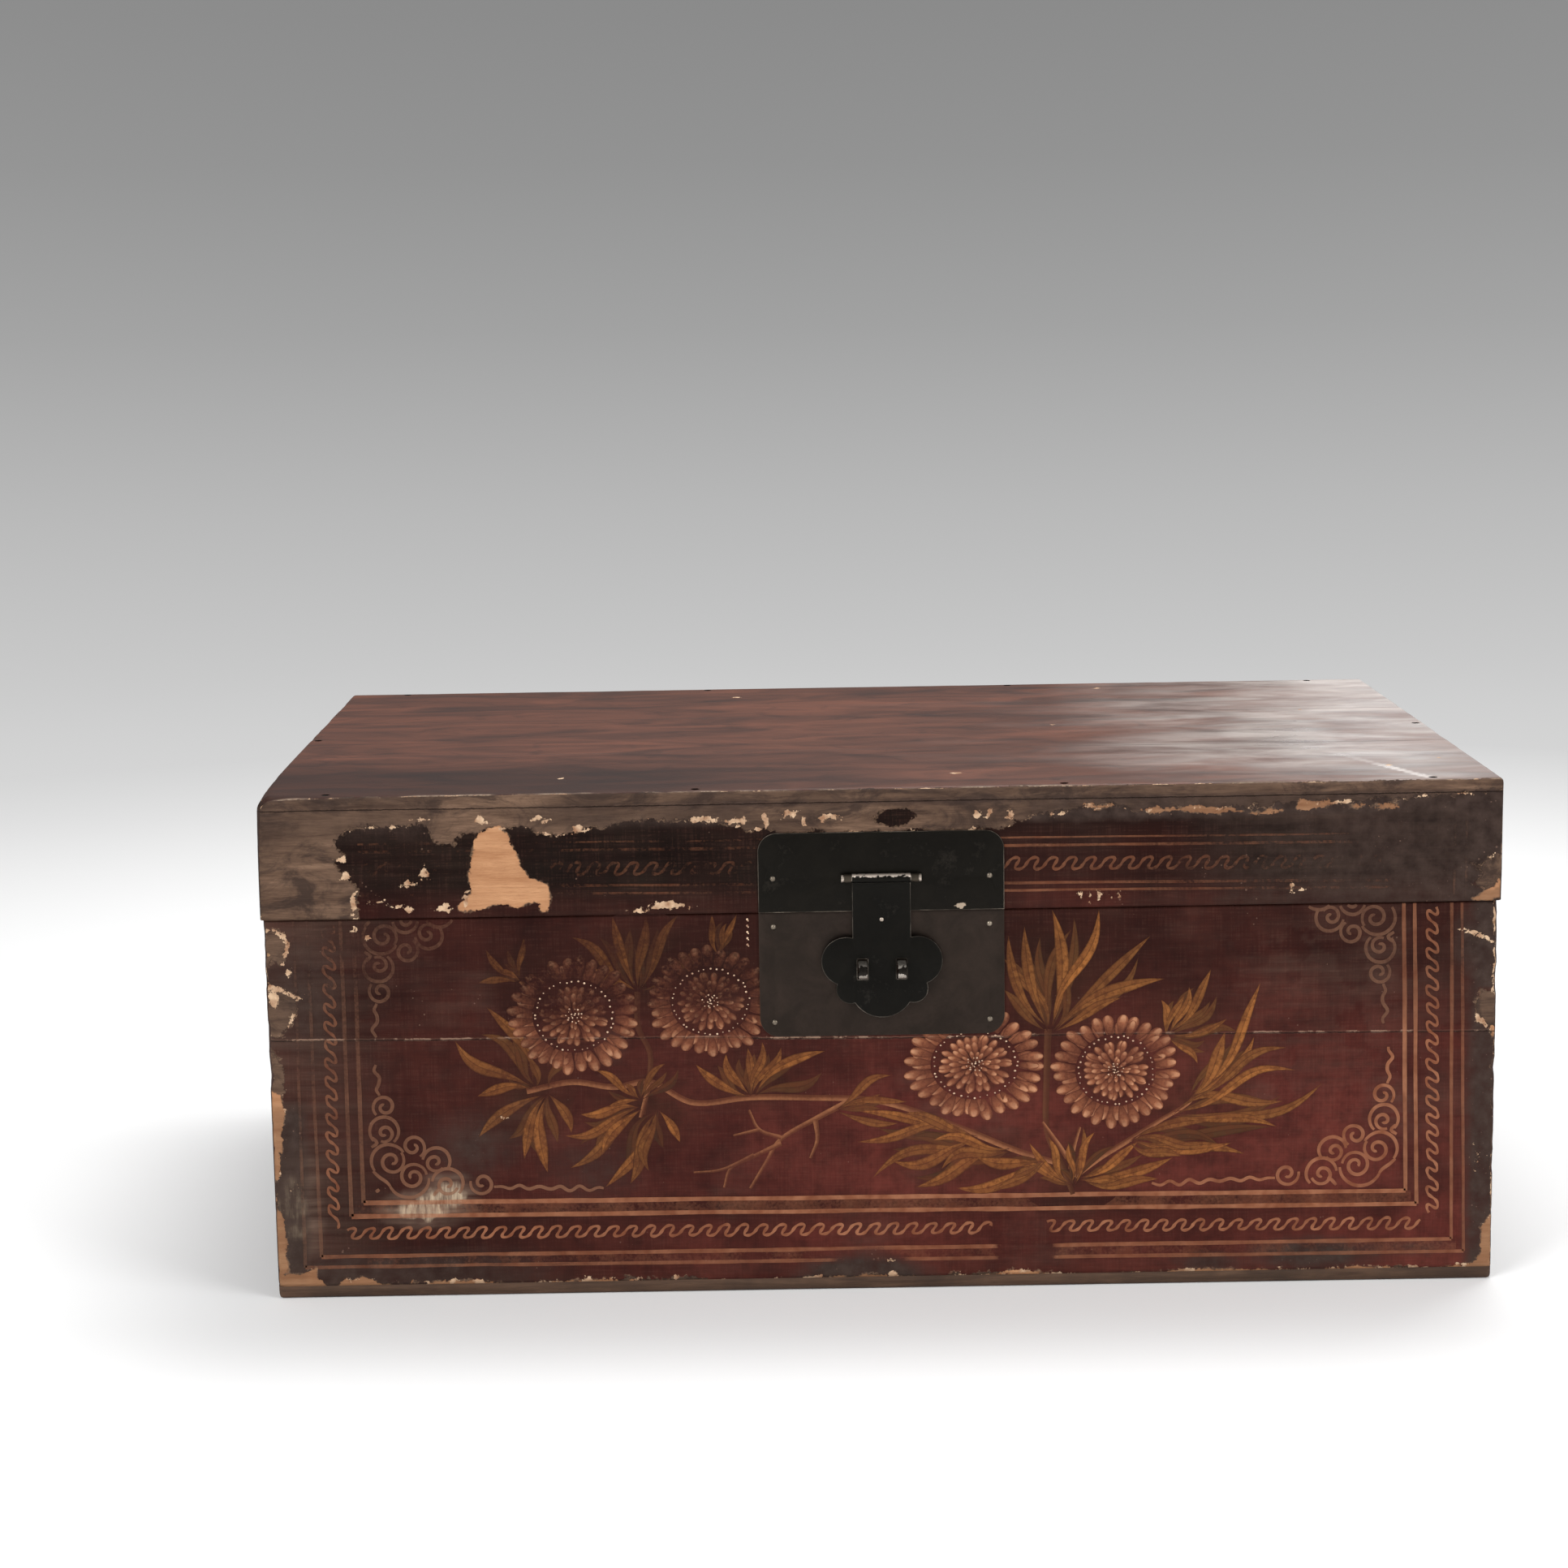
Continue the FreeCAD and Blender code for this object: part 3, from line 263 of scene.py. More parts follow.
tilt, swing, lean = math.radians(9.194), math.radians(0.245), math.radians(-0.899)
forward = Vector((math.sin(swing) * math.cos(tilt), math.cos(swing) * math.cos(tilt), -math.sin(tilt)))
level = Vector((math.cos(swing), -math.sin(swing), 0))
above = level.cross(forward)
side = level * math.cos(lean) + above * math.sin(lean)
upward = above * math.cos(lean) - level * math.sin(lean)
lens = bpy.data.cameras.new("camera")
lens.lens, lens.sensor_width, lens.clip_end = 73.81, 36.0, 60.0
camera = bpy.data.objects.new("camera", lens)
camera.matrix_world = Matrix.Translation((-0.0744, -2.4202, 0.7070)) @ Matrix(
    (side, upward, -forward)).transposed().to_4x4()
bpy.context.collection.objects.link(camera)
bpy.context.scene.camera = camera
bpy.context.scene.view_settings.view_transform = "Standard"

# Box and lid boards: sawn softwood, bare inside and under the paint. The boards are dovetailed at the
# upright corners, and their outer arrises are rubbed round, most at the lid's front left corner.
# A face that isn't rubbed is set far off. All sizes here are in mm.
far_off = 1000.0
box_low, box_high = (-423.0, -263.0, -far_off), (423.0, 265.0, far_off)
lid_low, lid_high = (-425.0, -265.0, -far_off), (425.0, 265.0, 354.4)
box_bottom, lid_board_top, plank_seam = 0.0, 345.4, 88.33
paint_thickness = 0.3


def value_noise(across, along, cell, seed, octaves=3):
    """Smooth noise from 0 to 1 on a plane, with blotches about one cell wide, the same on every run."""
    total, weight, part = np.zeros(np.shape(across)), 0.0, 1.0
    for octave in range(octaves):
        table = np.random.RandomState(seed + 17 * octave).rand(64, 64)
        u, v = np.asarray(across) / cell + 7.3, np.asarray(along) / cell + 3.1
        i, j = np.floor(u).astype(int), np.floor(v).astype(int)
        s, t = u - i, v - j
        s, t = s * s * (3 - 2 * s), t * t * (3 - 2 * t)
        i, j, k, l = i % 64, j % 64, (i + 1) % 64, (j + 1) % 64
        low = table[i, j] * (1 - s) + table[k, j] * s
        high = table[i, l] * (1 - s) + table[k, l] * s
        total += part * (low * (1 - t) + high * t)
        weight, part, cell = weight + part, part * 0.5, cell * 0.5
    return total / weight


def share(value):
    """A value held between 0 and 1."""
    return np.clip(value, 0, 1)


def box_rubbing(at):
    """How round the box's upright arrises are rubbed, in mm, at points on it."""
    knocks = value_noise(at[:, 2], at[:, 0] * 0.2 + at[:, 1] * 0.3, 17, 5)
    return 3.4 + 20.0 * share(knocks - 0.5)


def lid_rubbing(at):
    """The same for the lid, which is rubbed most at its front left corner."""
    worn_corner = np.array((*lid_low[:2], lid_high[2]))
    reach = np.linalg.norm((at - worn_corner) * (1, 0.7, 1), axis=1)
    knocks = value_noise(at[:, 0] + at[:, 1], at[:, 2], 34, 8)
    return 3.6 + 9.5 * np.exp(-reach / 26) + 4.0 * share(knocks - 0.5)


def rounded(at, low, high, radius, solid=False):
    """Rubs the arrises of a block's surface points round. A solid's inner points stay where they are."""
    low, high, radius = np.array(low), np.array(high), np.asarray(radius)[:, None]
    core = np.clip(at, low + radius, high - radius)
    out = at - core
    length = np.linalg.norm(out, axis=1)[:, None]
    pull = radius / np.maximum(length, 1e-9)
    return core + out * (np.minimum(pull, 1.0) if solid else pull)


def points_of(mesh):
    """A mesh's points, in mm."""
    flat = np.empty(len(mesh.vertices) * 3)
    mesh.vertices.foreach_get("co", flat)
    return flat.reshape(-1, 3) * 1000


def opened(node, suffix, flatness):
    """A copy of a CAD node's mesh and its faces, open for work, those within flatness degrees joined."""
    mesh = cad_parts[node].data.copy()
    mesh.name = node + suffix
    work = bmesh.new()
    work.from_mesh(mesh)
    bmesh.ops.remove_doubles(work, verts=work.verts, dist=1e-6)
    bmesh.ops.dissolve_limit(work, angle_limit=math.radians(flatness), verts=work.verts, edges=work.edges)
    return mesh, work


def new_piece(name, mesh, body, material=None, node=None):
    """Puts a mesh in the scene as a piece that rides on a body, in place of a CAD node where one is named."""
    if material:
        mesh.materials.clear()
        mesh.materials.append(material)
    piece = bpy.data.objects.new(name, mesh)
    bpy.context.collection.objects.link(piece)
    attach(piece, body)
    if node:
        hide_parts(node)


def rubbed_board(node, body, low, high, rubbing, material, inset=paint_thickness):
    """A copy of a board with its outer arrises rubbed round, a coat's thickness inside the CAD board."""
    mesh, work = opened(node, "_rubbed", 0.2)
    cuts = [(axis, edge + sign * depth) for axis in range(3)
            for edge, sign in ((low[axis], 1), (high[axis], -1)) if abs(edge) < far_off
            for depth in (1.2, 3, 5.5, 9, 15)]
    for axis, depth in cuts + [(2, height) for height in range(15, 355, 9)]:
        spot, direction = [0, 0, 0], [0, 0, 0]
        spot[axis], direction[axis] = depth / 1000, 1
        bmesh.ops.bisect_plane(work, geom=work.verts[:] + work.edges[:] + work.faces[:],
                               plane_co=spot, plane_no=direction, dist=1e-6)
    bmesh.ops.triangulate(work, faces=work.faces)
    work.to_mesh(mesh)
    work.free()
    inner_low, inner_high = np.array(low) + inset, np.array(high) - inset
    at = np.clip(points_of(mesh), inner_low, inner_high)
    at = rounded(at, inner_low, inner_high, rubbing(at) + 0.8, solid=True)
    mesh.vertices.foreach_set("co", (at / 1000).ravel())
    mesh.polygons.foreach_set("use_smooth", [True] * len(mesh.polygons))
    mesh.set_sharp_from_angle(angle=math.radians(32))
    mesh.update()
    new_piece(node + "_rubbed", mesh, body, material, node)


# Wood grain is shared by every bare board: long fibres along the board, darker growth bands, and grime.
wood_grain, given, result = new_group(
    "wood_grain", "ShaderNodeTree", {"Place": "Vector", "Fibres": "Vector", "Light": "Color", "Dark": "Color",
                                     "Grime": "Float", "Grime Colour": "Color"}, shader_outputs)
net = wood_grain
drawn = net.vector("MULTIPLY", given["Place"], given["Fibres"])
bands = net.noise(drawn, 9, 4, 0.6, 0.6)
fibres = net.noise(drawn, 60, 3, 0.7)
pores = net.noise(drawn, 170, 2, 0.6)
figure = net.span(bands + fibres * 0.45, 0.5, 0.98)
stains = net.span(net.noise(given["Place"], 14, 4, 0.65), 0.42, 0.68)
timber = net.layers(net.mix(figure, given["Dark"], given["Light"]),
                    (net.span(pores, 0.6, 0.72, 0, 0.45), given["Dark"]),
                    (stains * given["Grime"], given["Grime Colour"]))
net.fill(result, {"Color": timber, "Roughness": net.span(fibres, 0.3, 0.7, 0.66, 0.86),
                  "Height": fibres - pores * 0.5})


def bare_wood(name, light, dark, grime, grime_colour, fibres, bump=0.35, upper=None):
    """Bare board. Fibres gives how close its grain is along each axis, upper the light colour of its top."""
    material, net, surface = new_material(name)
    grain = net.group(wood_grain, {"Place": net.place(), "Fibres": fibres, "Light": light, "Dark": dark,
                                   "Grime": grime, "Grime Colour": grime_colour})
    colour = grain["Color"]
    if upper is not None:
        normal = net.put("ShaderNodeTexCoord", output="Normal")
        faces_up = net.put("ShaderNodeSeparateXYZ", {0: normal}, "Z")
        kept_clean = net.mix(net.span(grain["Height"], 0.10, 0.40), (96, 71, 52), upper)
        colour = net.mix(net.span(faces_up, 0.7, 0.9), colour, net.mix(0.4, kept_clean, colour))
    net.dress(surface, colour, grain["Roughness"], grain["Height"], bump, 0.25, 0.0006)
    return material


wood_along = bare_wood("board_wood_along", (176, 139, 103), (126, 92, 64), 0.55, (88, 66, 50), (1.6, 26, 26))
wood_across = bare_wood("board_wood_across", (172, 136, 101), (122, 90, 63), 0.55, (86, 65, 50), (26, 1.6, 26))
board_sides = {"front": wood_along, "back": wood_along, "left": wood_across, "right": wood_across}
for side, wood in board_sides.items():
    for height in ("lower", "upper"):
        rubbed_board(f"{side}_{height}_board", "box", box_low, box_high, box_rubbing, wood)
for side, wood in board_sides.items():
    rubbed_board(f"lid_{side}_board", "lid", lid_low, lid_high, lid_rubbing, wood)
for part in ("front", "middle", "back"):
    rubbed_board(f"lid_top_{part}_plank", "lid", lid_low, lid_high, lid_rubbing, wood_along)

# Bottom planks and the inner lip: unpainted boards, nailed on. The bottom's edges are worn dark brown.
bottom_wood = bare_wood("bottom_wood", (104, 79, 62), (68, 49, 38), 0.6, (52, 40, 33), (1.6, 26, 26), 0.6,
                        (164, 129, 95))
lip_wood = bare_wood("lip_wood", (184, 148, 110), (134, 100, 70), 0.5, (98, 74, 56), (3, 3, 26))
for part in ("front", "middle", "back"):
    rubbed_board(f"bottom_{part}_plank", "box", (*box_low[:2], box_bottom), box_high,
                 lambda at: 0.7 * box_rubbing(at), bottom_wood, 0.0)
for node in ("lip_front", "lip_back", "lip_left", "lip_right"):
    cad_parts[node].data.materials[0] = lip_wood

# Paint: a dark lacquer ground with a red field over thin cloth, brushed on the outside only. It has flaked to
# greyed old wood, to fresh pale wood in places, chipped along edges and joints, and gone sooty at the corners.
# Its wear is given by masks: unworn is a distance from any flake, in mm.
unworn = -9.0
mask_names = {"Old Bare": "old_bare", "Fresh Bare": "fresh_bare", "Chip": "chip", "Joint": "joint",
              "Clean Joint": "clean_joint", "Red": "red", "Dust": "dust", "Soot": "soot"}
lacquer, given, result = new_group("worn_lacquer", "ShaderNodeTree", dict.fromkeys(mask_names, "Float"),
                                   shader_outputs | {"Paint Left": "Float"})
net = lacquer
place = net.place()


def swing_of(scale, reach):
    """Noise about zero, in mm, that makes a flake's edge ragged."""
    return (net.noise(place, scale, 3.0, 0.6) - 0.5) * reach


ragged = swing_of(130, 11.0) + swing_of(480, 6.0)
crumbs = swing_of(300, 5.5) + swing_of(900, 3.0)
old_edge = given["Old Bare"] + ragged
fresh_edge = given["Fresh Bare"] + ragged * 0.55
chip_edge = given["Chip"] + crumbs
old_mask, fresh_mask, chip_mask = (net.span(edge, -0.12, 0.12) for edge in (old_edge, fresh_edge, chip_edge))

clouds = net.noise(place, 15, 5, 0.62, 0.4)
mottle = net.noise(place, 95, 4, 0.6)
brushed = net.noise(place, 26, 4, 0.6, 0.0, (0.35, 1.0, 6.0))
weft = net.noise(place, 1.0, 3, 0.55, 0.0, (55, 55, 900))
warp = net.noise(place, 1.0, 3, 0.55, 0.0, (900, 900, 40))
cloth = weft + warp
black_ground = net.mix(net.span(clouds, 0.32, 0.68), (14, 7, 5), (27, 14, 10))
red_field = net.mix(net.span(clouds, 0.32, 0.68), (70, 29, 25), (104, 49, 41))
ground = net.mix(given["Red"], black_ground, red_field)
ground = net.layers(
    ground, (net.span(mottle, 0.44, 0.72, 0.0, 0.45), (34, 17, 15)),
    (net.span(cloth, 0.98, 0.72, 0.0, 0.17), (30, 14, 13)),
    (net.span(cloth, 1.04, 1.3, 0.0, 0.07), (134, 92, 78)))
haze = held(given["Dust"] * net.span(brushed, 0.32, 0.72, 0.15, 1.15))
ground = net.mix(haze, ground, (124, 102, 88))
scraped = net.span(net.noise(place, 1.0, 4, 0.65, 0.3, (340, 340, 45)), 0.4, 0.62, 0.15, 1.0)
scraped = held(scraped * net.span(given["Dust"], 0.8, 1.15))
ground = net.mix(scraped, ground, (190, 168, 142))
sooty = net.mix(net.span(mottle, 0.34, 0.66), (49, 38, 34), (70, 56, 50))
soot = held(given["Soot"] * net.span(clouds + mottle, 0.75, 1.1, 0.76, 1.1))
ground = net.mix(soot, ground, sooty)
specks = net.put("ShaderNodeTexVoronoi", {"Vector": place, "Scale": 210.0}, output="Distance", feature="F1")
speckled = net.span(net.noise(place, 40, 3, 0.6), 0.56, 0.74) + given["Soot"] * 0.35
speck_mask = net.span(specks - speckled * 0.16, 0.03, 0.0, 0, 0.34)
ground = net.mix(speck_mask, ground, (140, 110, 94))

old_wood = net.group(wood_grain, {"Place": place, "Fibres": (1.6, 9, 16), "Light": (132, 105, 86),
                                  "Dark": (74, 56, 46), "Grime": 0.6, "Grime Colour": (64, 50, 43)})
fresh_wood = net.group(wood_grain, {"Place": place, "Fibres": (1.2, 12, 12), "Light": (204, 154, 114),
                                    "Dark": (160, 110, 76), "Grime": 0.34, "Grime Colour": (150, 104, 74)})
smoke = net.span(net.noise(place, 30, 5, 0.72, 1.0, (0.7, 1.0, 1.5)), 0.46, 0.62, 0.0, 0.78)
old_colour = net.mix(smoke, old_wood["Color"], (54, 43, 39))
# Just inside an old flake's rim, the wood is darkened as painted shade cast by the lacquer's edge.
old_colour = net.layers(
    old_colour, (given["Soot"] * 0.75, sooty), (net.span(old_edge, 1.1, 0.0, 0, 0.6), (42, 31, 27)))
rim = net.math("MAXIMUM", net.span(old_edge, -1.3, -0.1), net.span(fresh_edge, -1.2, -0.1))
rim = rim * net.span(net.noise(place, 150, 3, 0.6), 0.47, 0.6)
colour = net.mix(rim * 0.7, ground, (140, 112, 90))
colour = net.mix(old_mask, colour, old_colour)
# A fresh flake gets the same painted shade just inside its rim.
fresh_colour = net.mix(net.span(fresh_edge, 0.9, 0.0, 0, 0.45), fresh_wood["Color"], (120, 80, 58))
fresh_colour = net.mix(given["Soot"] * 0.45, fresh_colour, sooty)
colour = net.mix(fresh_mask, colour, fresh_colour)
cream = net.mix(net.span(mottle, 0.38, 0.62), (156, 116, 88), (216, 184, 152))
colour = net.mix(chip_mask, colour, cream)
off_joint = given["Joint"] + crumbs * 0.22
joint_way = abs(off_joint)
powdered = net.span(net.noise(place, 85, 4, 0.65), 0.5, 0.56, 0.12, 1.0)
joint_pale = net.span(joint_way, 1.15, 0.55) * (powdered * net.span(given["Clean Joint"], -1, 1, 2.2, 0.1))
colour = net.mix(joint_pale * 0.55, colour, (164, 132, 112))
joint_dark = net.span(abs(off_joint + 0.55), 0.48, 0.2)
colour = net.mix(joint_dark * 0.8, colour, (26, 18, 16))
gone = net.math("MAXIMUM", net.math("MAXIMUM", old_mask, fresh_mask), chip_mask)
left = held(1.0 - gone)
gloss = net.span(mottle + (haze + soot), 0.3, 1.4, 0.3, 0.66)
relief = left + old_wood["Height"] * 0.35 + mottle * 0.25 + cloth * 0.1 - joint_dark * 1.3
net.fill(result, {"Color": colour, "Roughness": net.blend(left, old_wood["Roughness"], gloss), "Height": relief,
                  "Paint Left": left})


def lacquer_on(net):
    """The worn lacquer, read at the piece's own wear attributes."""
    return net.group(lacquer, {label: net.read(name) for label, name in mask_names.items()})


lacquer_shine = 0.06
painted_lacquer, net, surface = new_material("painted_lacquer")
look = lacquer_on(net)
net.dress(surface, look["Color"], look["Roughness"], look["Height"], 0.7, lacquer_shine)


def within(x, y, outline):
    """Distance inside an outline, in mm, and less than zero outside it."""
    corners = np.array(outline, float)
    nearest, inside = np.full(np.shape(x), 1e9), np.zeros(np.shape(x), bool)
    for (ax, ay), (bx, by) in zip(corners, np.roll(corners, -1, axis=0)):
        wide, tall = bx - ax, by - ay
        along = share(((x - ax) * wide + (y - ay) * tall) / max(wide ** 2 + tall ** 2, 1e-9))
        nearest = np.minimum(nearest, np.hypot(x - ax - along * wide, y - ay - along * tall))
        crosses = (ay > y) != (by > y)
        meet = wide * (y - ay) / np.where(by == ay, 1e-9, tall) + ax
        inside ^= crosses & (x < meet)
    return np.where(inside, nearest, -nearest)


def spot(x, y, cx, cy, width, height):
    """Distance inside an oval flake, in mm."""
    return (1 - np.hypot((x - cx) / (width / 2), (y - cy) / (height / 2))) * min(width, height) / 2


def flakes(x, y, outlines=(), ovals=()):
    """Distance inside the nearest of several flakes, given as outlines or as ovals."""
    return np.max([within(x, y, outline) for outline in outlines] + [spot(x, y, *oval) for oval in ovals],
                  axis=0)


def edge_flakes(distance, x, y, seed, reach=5.0, cell=14.0):
    """Flakes that eat in from an edge, at a distance from it, and none where the noise is low."""
    return reach * 4.0 * (value_noise(x, y, cell, seed) - 0.56) - distance


def strayed(value, reach, x, y, cell, seed):
    """A value that strays by half of reach either way from place to place."""
    return value + reach * (value_noise(x, y, cell, seed) - 0.5)


def wear(old, fresh, chip, joint, clean_joint, red, dust, most_dust, soot, most_soot):
    """A face's wear under the names that the lacquer reads. The first four are distances in mm."""
    values = (old, fresh, chip, joint, np.broadcast_to(clean_joint, old.shape), share(red),
              np.clip(dust, 0, most_dust), np.clip(soot, 0, most_soot))
    return dict(zip(mask_names.values(), values))


def steps_along(low, high, fine, coarse, rim=13.0):
    """Places along an edge: close together near both ends, where the arris is round."""
    near = np.arange(0, rim, fine)
    middle = np.linspace(low + rim, high - rim, max(2, int(round((high - low - 2 * rim) / coarse)) + 1))
    return np.concatenate((low + near, middle, high - near[::-1]))


def add_masks(mesh, masks):
    for name, values in masks.items():
        values = np.asarray(values, np.float32).ravel()
        mesh.attributes.new(name, "FLOAT", "POINT").data.foreach_set("value", values)


def grid_faces(rows, columns, start=0):
    """The faces between points that are listed row by row."""
    index = np.arange(rows * columns).reshape(rows, columns) + start
    return np.stack((index[:-1, :-1], index[:-1, 1:], index[1:, 1:], index[1:, :-1]), axis=-1).reshape(-1, 4)


def coat(name, body, us, vs, place, inward, masks, material=painted_lacquer):
    """A coat of paint: a grid of points on a face, with its rim turned in to the wood behind it."""
    us, vs = np.concatenate((us[:1], us, us[-1:])), np.concatenate((vs[:1], vs, vs[-1:]))
    u, v = np.meshgrid(us, vs)
    at = place(u.ravel(), v.ravel())
    turned_in = np.ones(u.shape, bool)
    turned_in[1:-1, 1:-1] = False
    at[turned_in.ravel()] += np.array(inward) * (paint_thickness + 0.6)
    mesh = bpy.data.meshes.new(name)
    mesh.from_pydata((at / 1000).tolist(), [], grid_faces(*u.shape).tolist())
    mesh.polygons.foreach_set("use_smooth", [True] * len(mesh.polygons))
    add_masks(mesh, masks(u.ravel(), v.ravel()))
    new_piece(name, mesh, body, material)


def on_block(low, high, rubbing):
    """Turns face coordinates into points on the rubbed block: across the face, up it, and its plane."""
    def placed(x, y, z):
        at = np.stack(np.broadcast_arrays(np.asarray(x, float), y, z), axis=1).astype(float)
        return rounded(at, low, high, rubbing(at))
    return placed


on_box = on_block(box_low, box_high, box_rubbing)
on_lid = on_block(lid_low, lid_high, lid_rubbing)


def front_board_joint(x):
    """Height of the wandering joint between the lower and the upper front board."""
    return 181.3 - 0.0086 * x + 0.9 * (value_noise(x, x * 0, 60, 21) - 0.5) - 1.3 * share((98 - np.abs(x)) / 16)


def near(x, y, cx, cy, width, height):
    """From 1 at a place to 0 at the rim of an oval round it."""
    return share(1 - np.hypot((x - cx) / (width / 2), (y - cy) / (height / 2)))


def box_front_masks(x, z):
    """Wear of the box front: browner and dustier outside the frame, redder towards the lower right."""
    wx, wz = strayed(x, 4, x, z, 8, 31), strayed(z, 4, x, z, 8, 32)
    from_left, from_right = x - box_low[0], box_high[0] - x
    old = np.maximum.reduce((
        edge_flakes(from_left, x, z, 41, 3.4, 15), edge_flakes(from_right, x, z, 42, 2.6, 15),
        edge_flakes(z - 9, x * 0.6, z, 43, 2.8, 20) - 0.5,
        flakes(wx, wz, (
            [(-425, 263), (-413, 262), (-407, 254), (-411, 238), (-418, 241), (-425, 230)],
            [(-425, 226), (-412, 222), (-402, 215), (-405, 203), (-410, 191), (-414, 187), (-425, 187)],
            [(-425, 180), (-416, 172), (-411, 158), (-415, 144), (-425, 139)],
            [(425, 207), (411, 205), (408, 197), (409, 188), (415, 181), (420, 176), (425, 175)]))))
    fresh = np.maximum(unworn, flakes(wx, wz, (
        [(-426, 152), (-417, 147), (-412, 135), (-416, 118), (-417, 101), (-420, 86), (-426, 84)],
        [(-426, 73), (-418, 62), (-415.5, 42), (-416, 20), (-426, 12)],
        [(-426, 19), (-407.5, 17), (-396, 22), (-395, 12), (-386, 9), (-383, 3), (-426, 3)],
        [(-381, 7), (-376.5, 16), (-372, 11), (-364, 17), (-356.5, 13.5), (-352, 10), (-345, 9), (-345, 3),
         (-381, 3)],
        [(426, 47), (421, 45), (415, 36), (415.5, 20), (409, 12.5), (392, 10), (374, 8), (426, 3)]), (
        (96, 9, 30, 5), (236, 8.5, 84, 4), (-300, 9, 46, 5), (-210, 8.5, 60, 3.6), (-20, 8.5, 50, 3),
        (330, 8.5, 40, 4), (421, 178, 6, 8))))
    fx, fz = strayed(wx, 4, x, z, 3.3, 33), strayed(wz, 4, x, z, 3.3, 34)
    chip = np.maximum.reduce((
        9 * (value_noise(x, z, 9, 44) - 0.56) - np.abs(np.maximum(old, fresh)),
        flakes(fx, fz, (), (
            (-418, 214, 7, 10), (-352, 255, 4, 5), (-407, 232, 4, 7), (-361, 262, 5, 5), (-302, 10, 4, 6),
            (422, 226, 3, 26), (-258, 143, 2, 2), (-262, 127, 5, 2), (-8, 25, 2, 2.4), (5, 20, 5, 2),
            (-47, 19, 2.4, 2.4))),
        flakes(x, z, (
            [(396, 250.6), (408, 248), (420, 241.5), (420, 239), (407, 245), (396, 248.6)],
            [(-422, 225), (-412, 222), (-402, 215.6), (-397, 213), (-402, 212.4), (-412, 218.6), (-422, 221)],
            [(-417, 263), (-409, 260), (-405, 252), (-408, 242), (-410, 243), (-408, 252), (-411, 257),
             (-417, 260.4)])) + 1.2 * (value_noise(x, z, 4, 45) - 0.6) * (x < 0)))
    for cx, cz, width, height, depth in ((-409, 80, 26, 40, 1.9), (412, 85, 20, 50, 1.7)):
        bared = near(x, z, cx, cz, width, height)
        chip = np.maximum(chip, np.where(bared > 0, -depth + 1.2 * bared, unworn))
    inside_frame = share(np.minimum(np.minimum(x + 361, 361 - x), z - 66) / 8 + 0.5)
    lower_right = share((x + 400) / 400) * share((232 - z) / 96)
    red = strayed(0.30 - 0.04 * inside_frame + 0.70 * inside_frame * lower_right, 0.34, x, z, 80, 51)
    red += 0.46 * share((x + 280) / 160) * share((64 - z) / 20)
    red += 0.3 * share((x - 361) / 4) * share((230 - z) / 60)
    umber = share(near(wx, wz, 98, 33, 36, 62) * 3)
    red = red + (0.7 - red) * umber
    dust = 0.02 + 0.20 * share((-330 - x) / 60) + 0.06 * share((30 - z) / 20)
    rubbed = np.maximum(near(wx, wz, -318, 63, 80, 32), near(wx, wz, -303, 73, 50, 38))
    dust += (1.8 * rubbed * (0.5 + value_noise(x, z, 7, 35))
             + 0.5 * np.clip(value_noise(x, z, 45, 52) - 0.6, 0, 0.3))
    dust += (1.1 * near(wx, wz, -410, 62, 48, 108) * (0.42 + value_noise(x, z, 8, 36))
             + 0.12 * share((14 - np.minimum(from_left, from_right)) / 14))
    dust += 0.10 * near(x, z, 330, 200, 300, 240) * (value_noise(x, z, 22, 53) > 0.35)
    dust += 0.05 * umber
    clean_patch = share(within(wx, wz, [(409, 208), (428, 208), (428, 174), (414, 180)]))
    stains = ((300, 20, 120, 30, 1.5), (226, 15, 60, 20, 1.1), (-16, 8, 116, 42, 2.2), (408, 240, 40, 60, 1.2),
              (-285, 108, 80, 60, 0.8), (-200, 90, 90, 60, 0.5), (370, 24, 60, 16, 0.7))
    soot = np.maximum.reduce((
        0.95 * share((-396 - x) / 8) * share((146 - z) / 14), 0.9 * share((x - 400) / 9) * (1 - clean_patch),
        0.75 * share((38 - z) / 14) * share((-215 - x) / 90),
        0.8 * share((-362 - x) / 30) * near(x, z, -395, 215, 160, 110),
        *(depth * near(wx, wz, cx, cz, width, height) for cx, cz, width, height, depth in stains)))
    return wear(old, fresh, chip, z - front_board_joint(x), -1.0 * (np.abs(x) < 85), red, dust, 1.2, soot, 0.95)


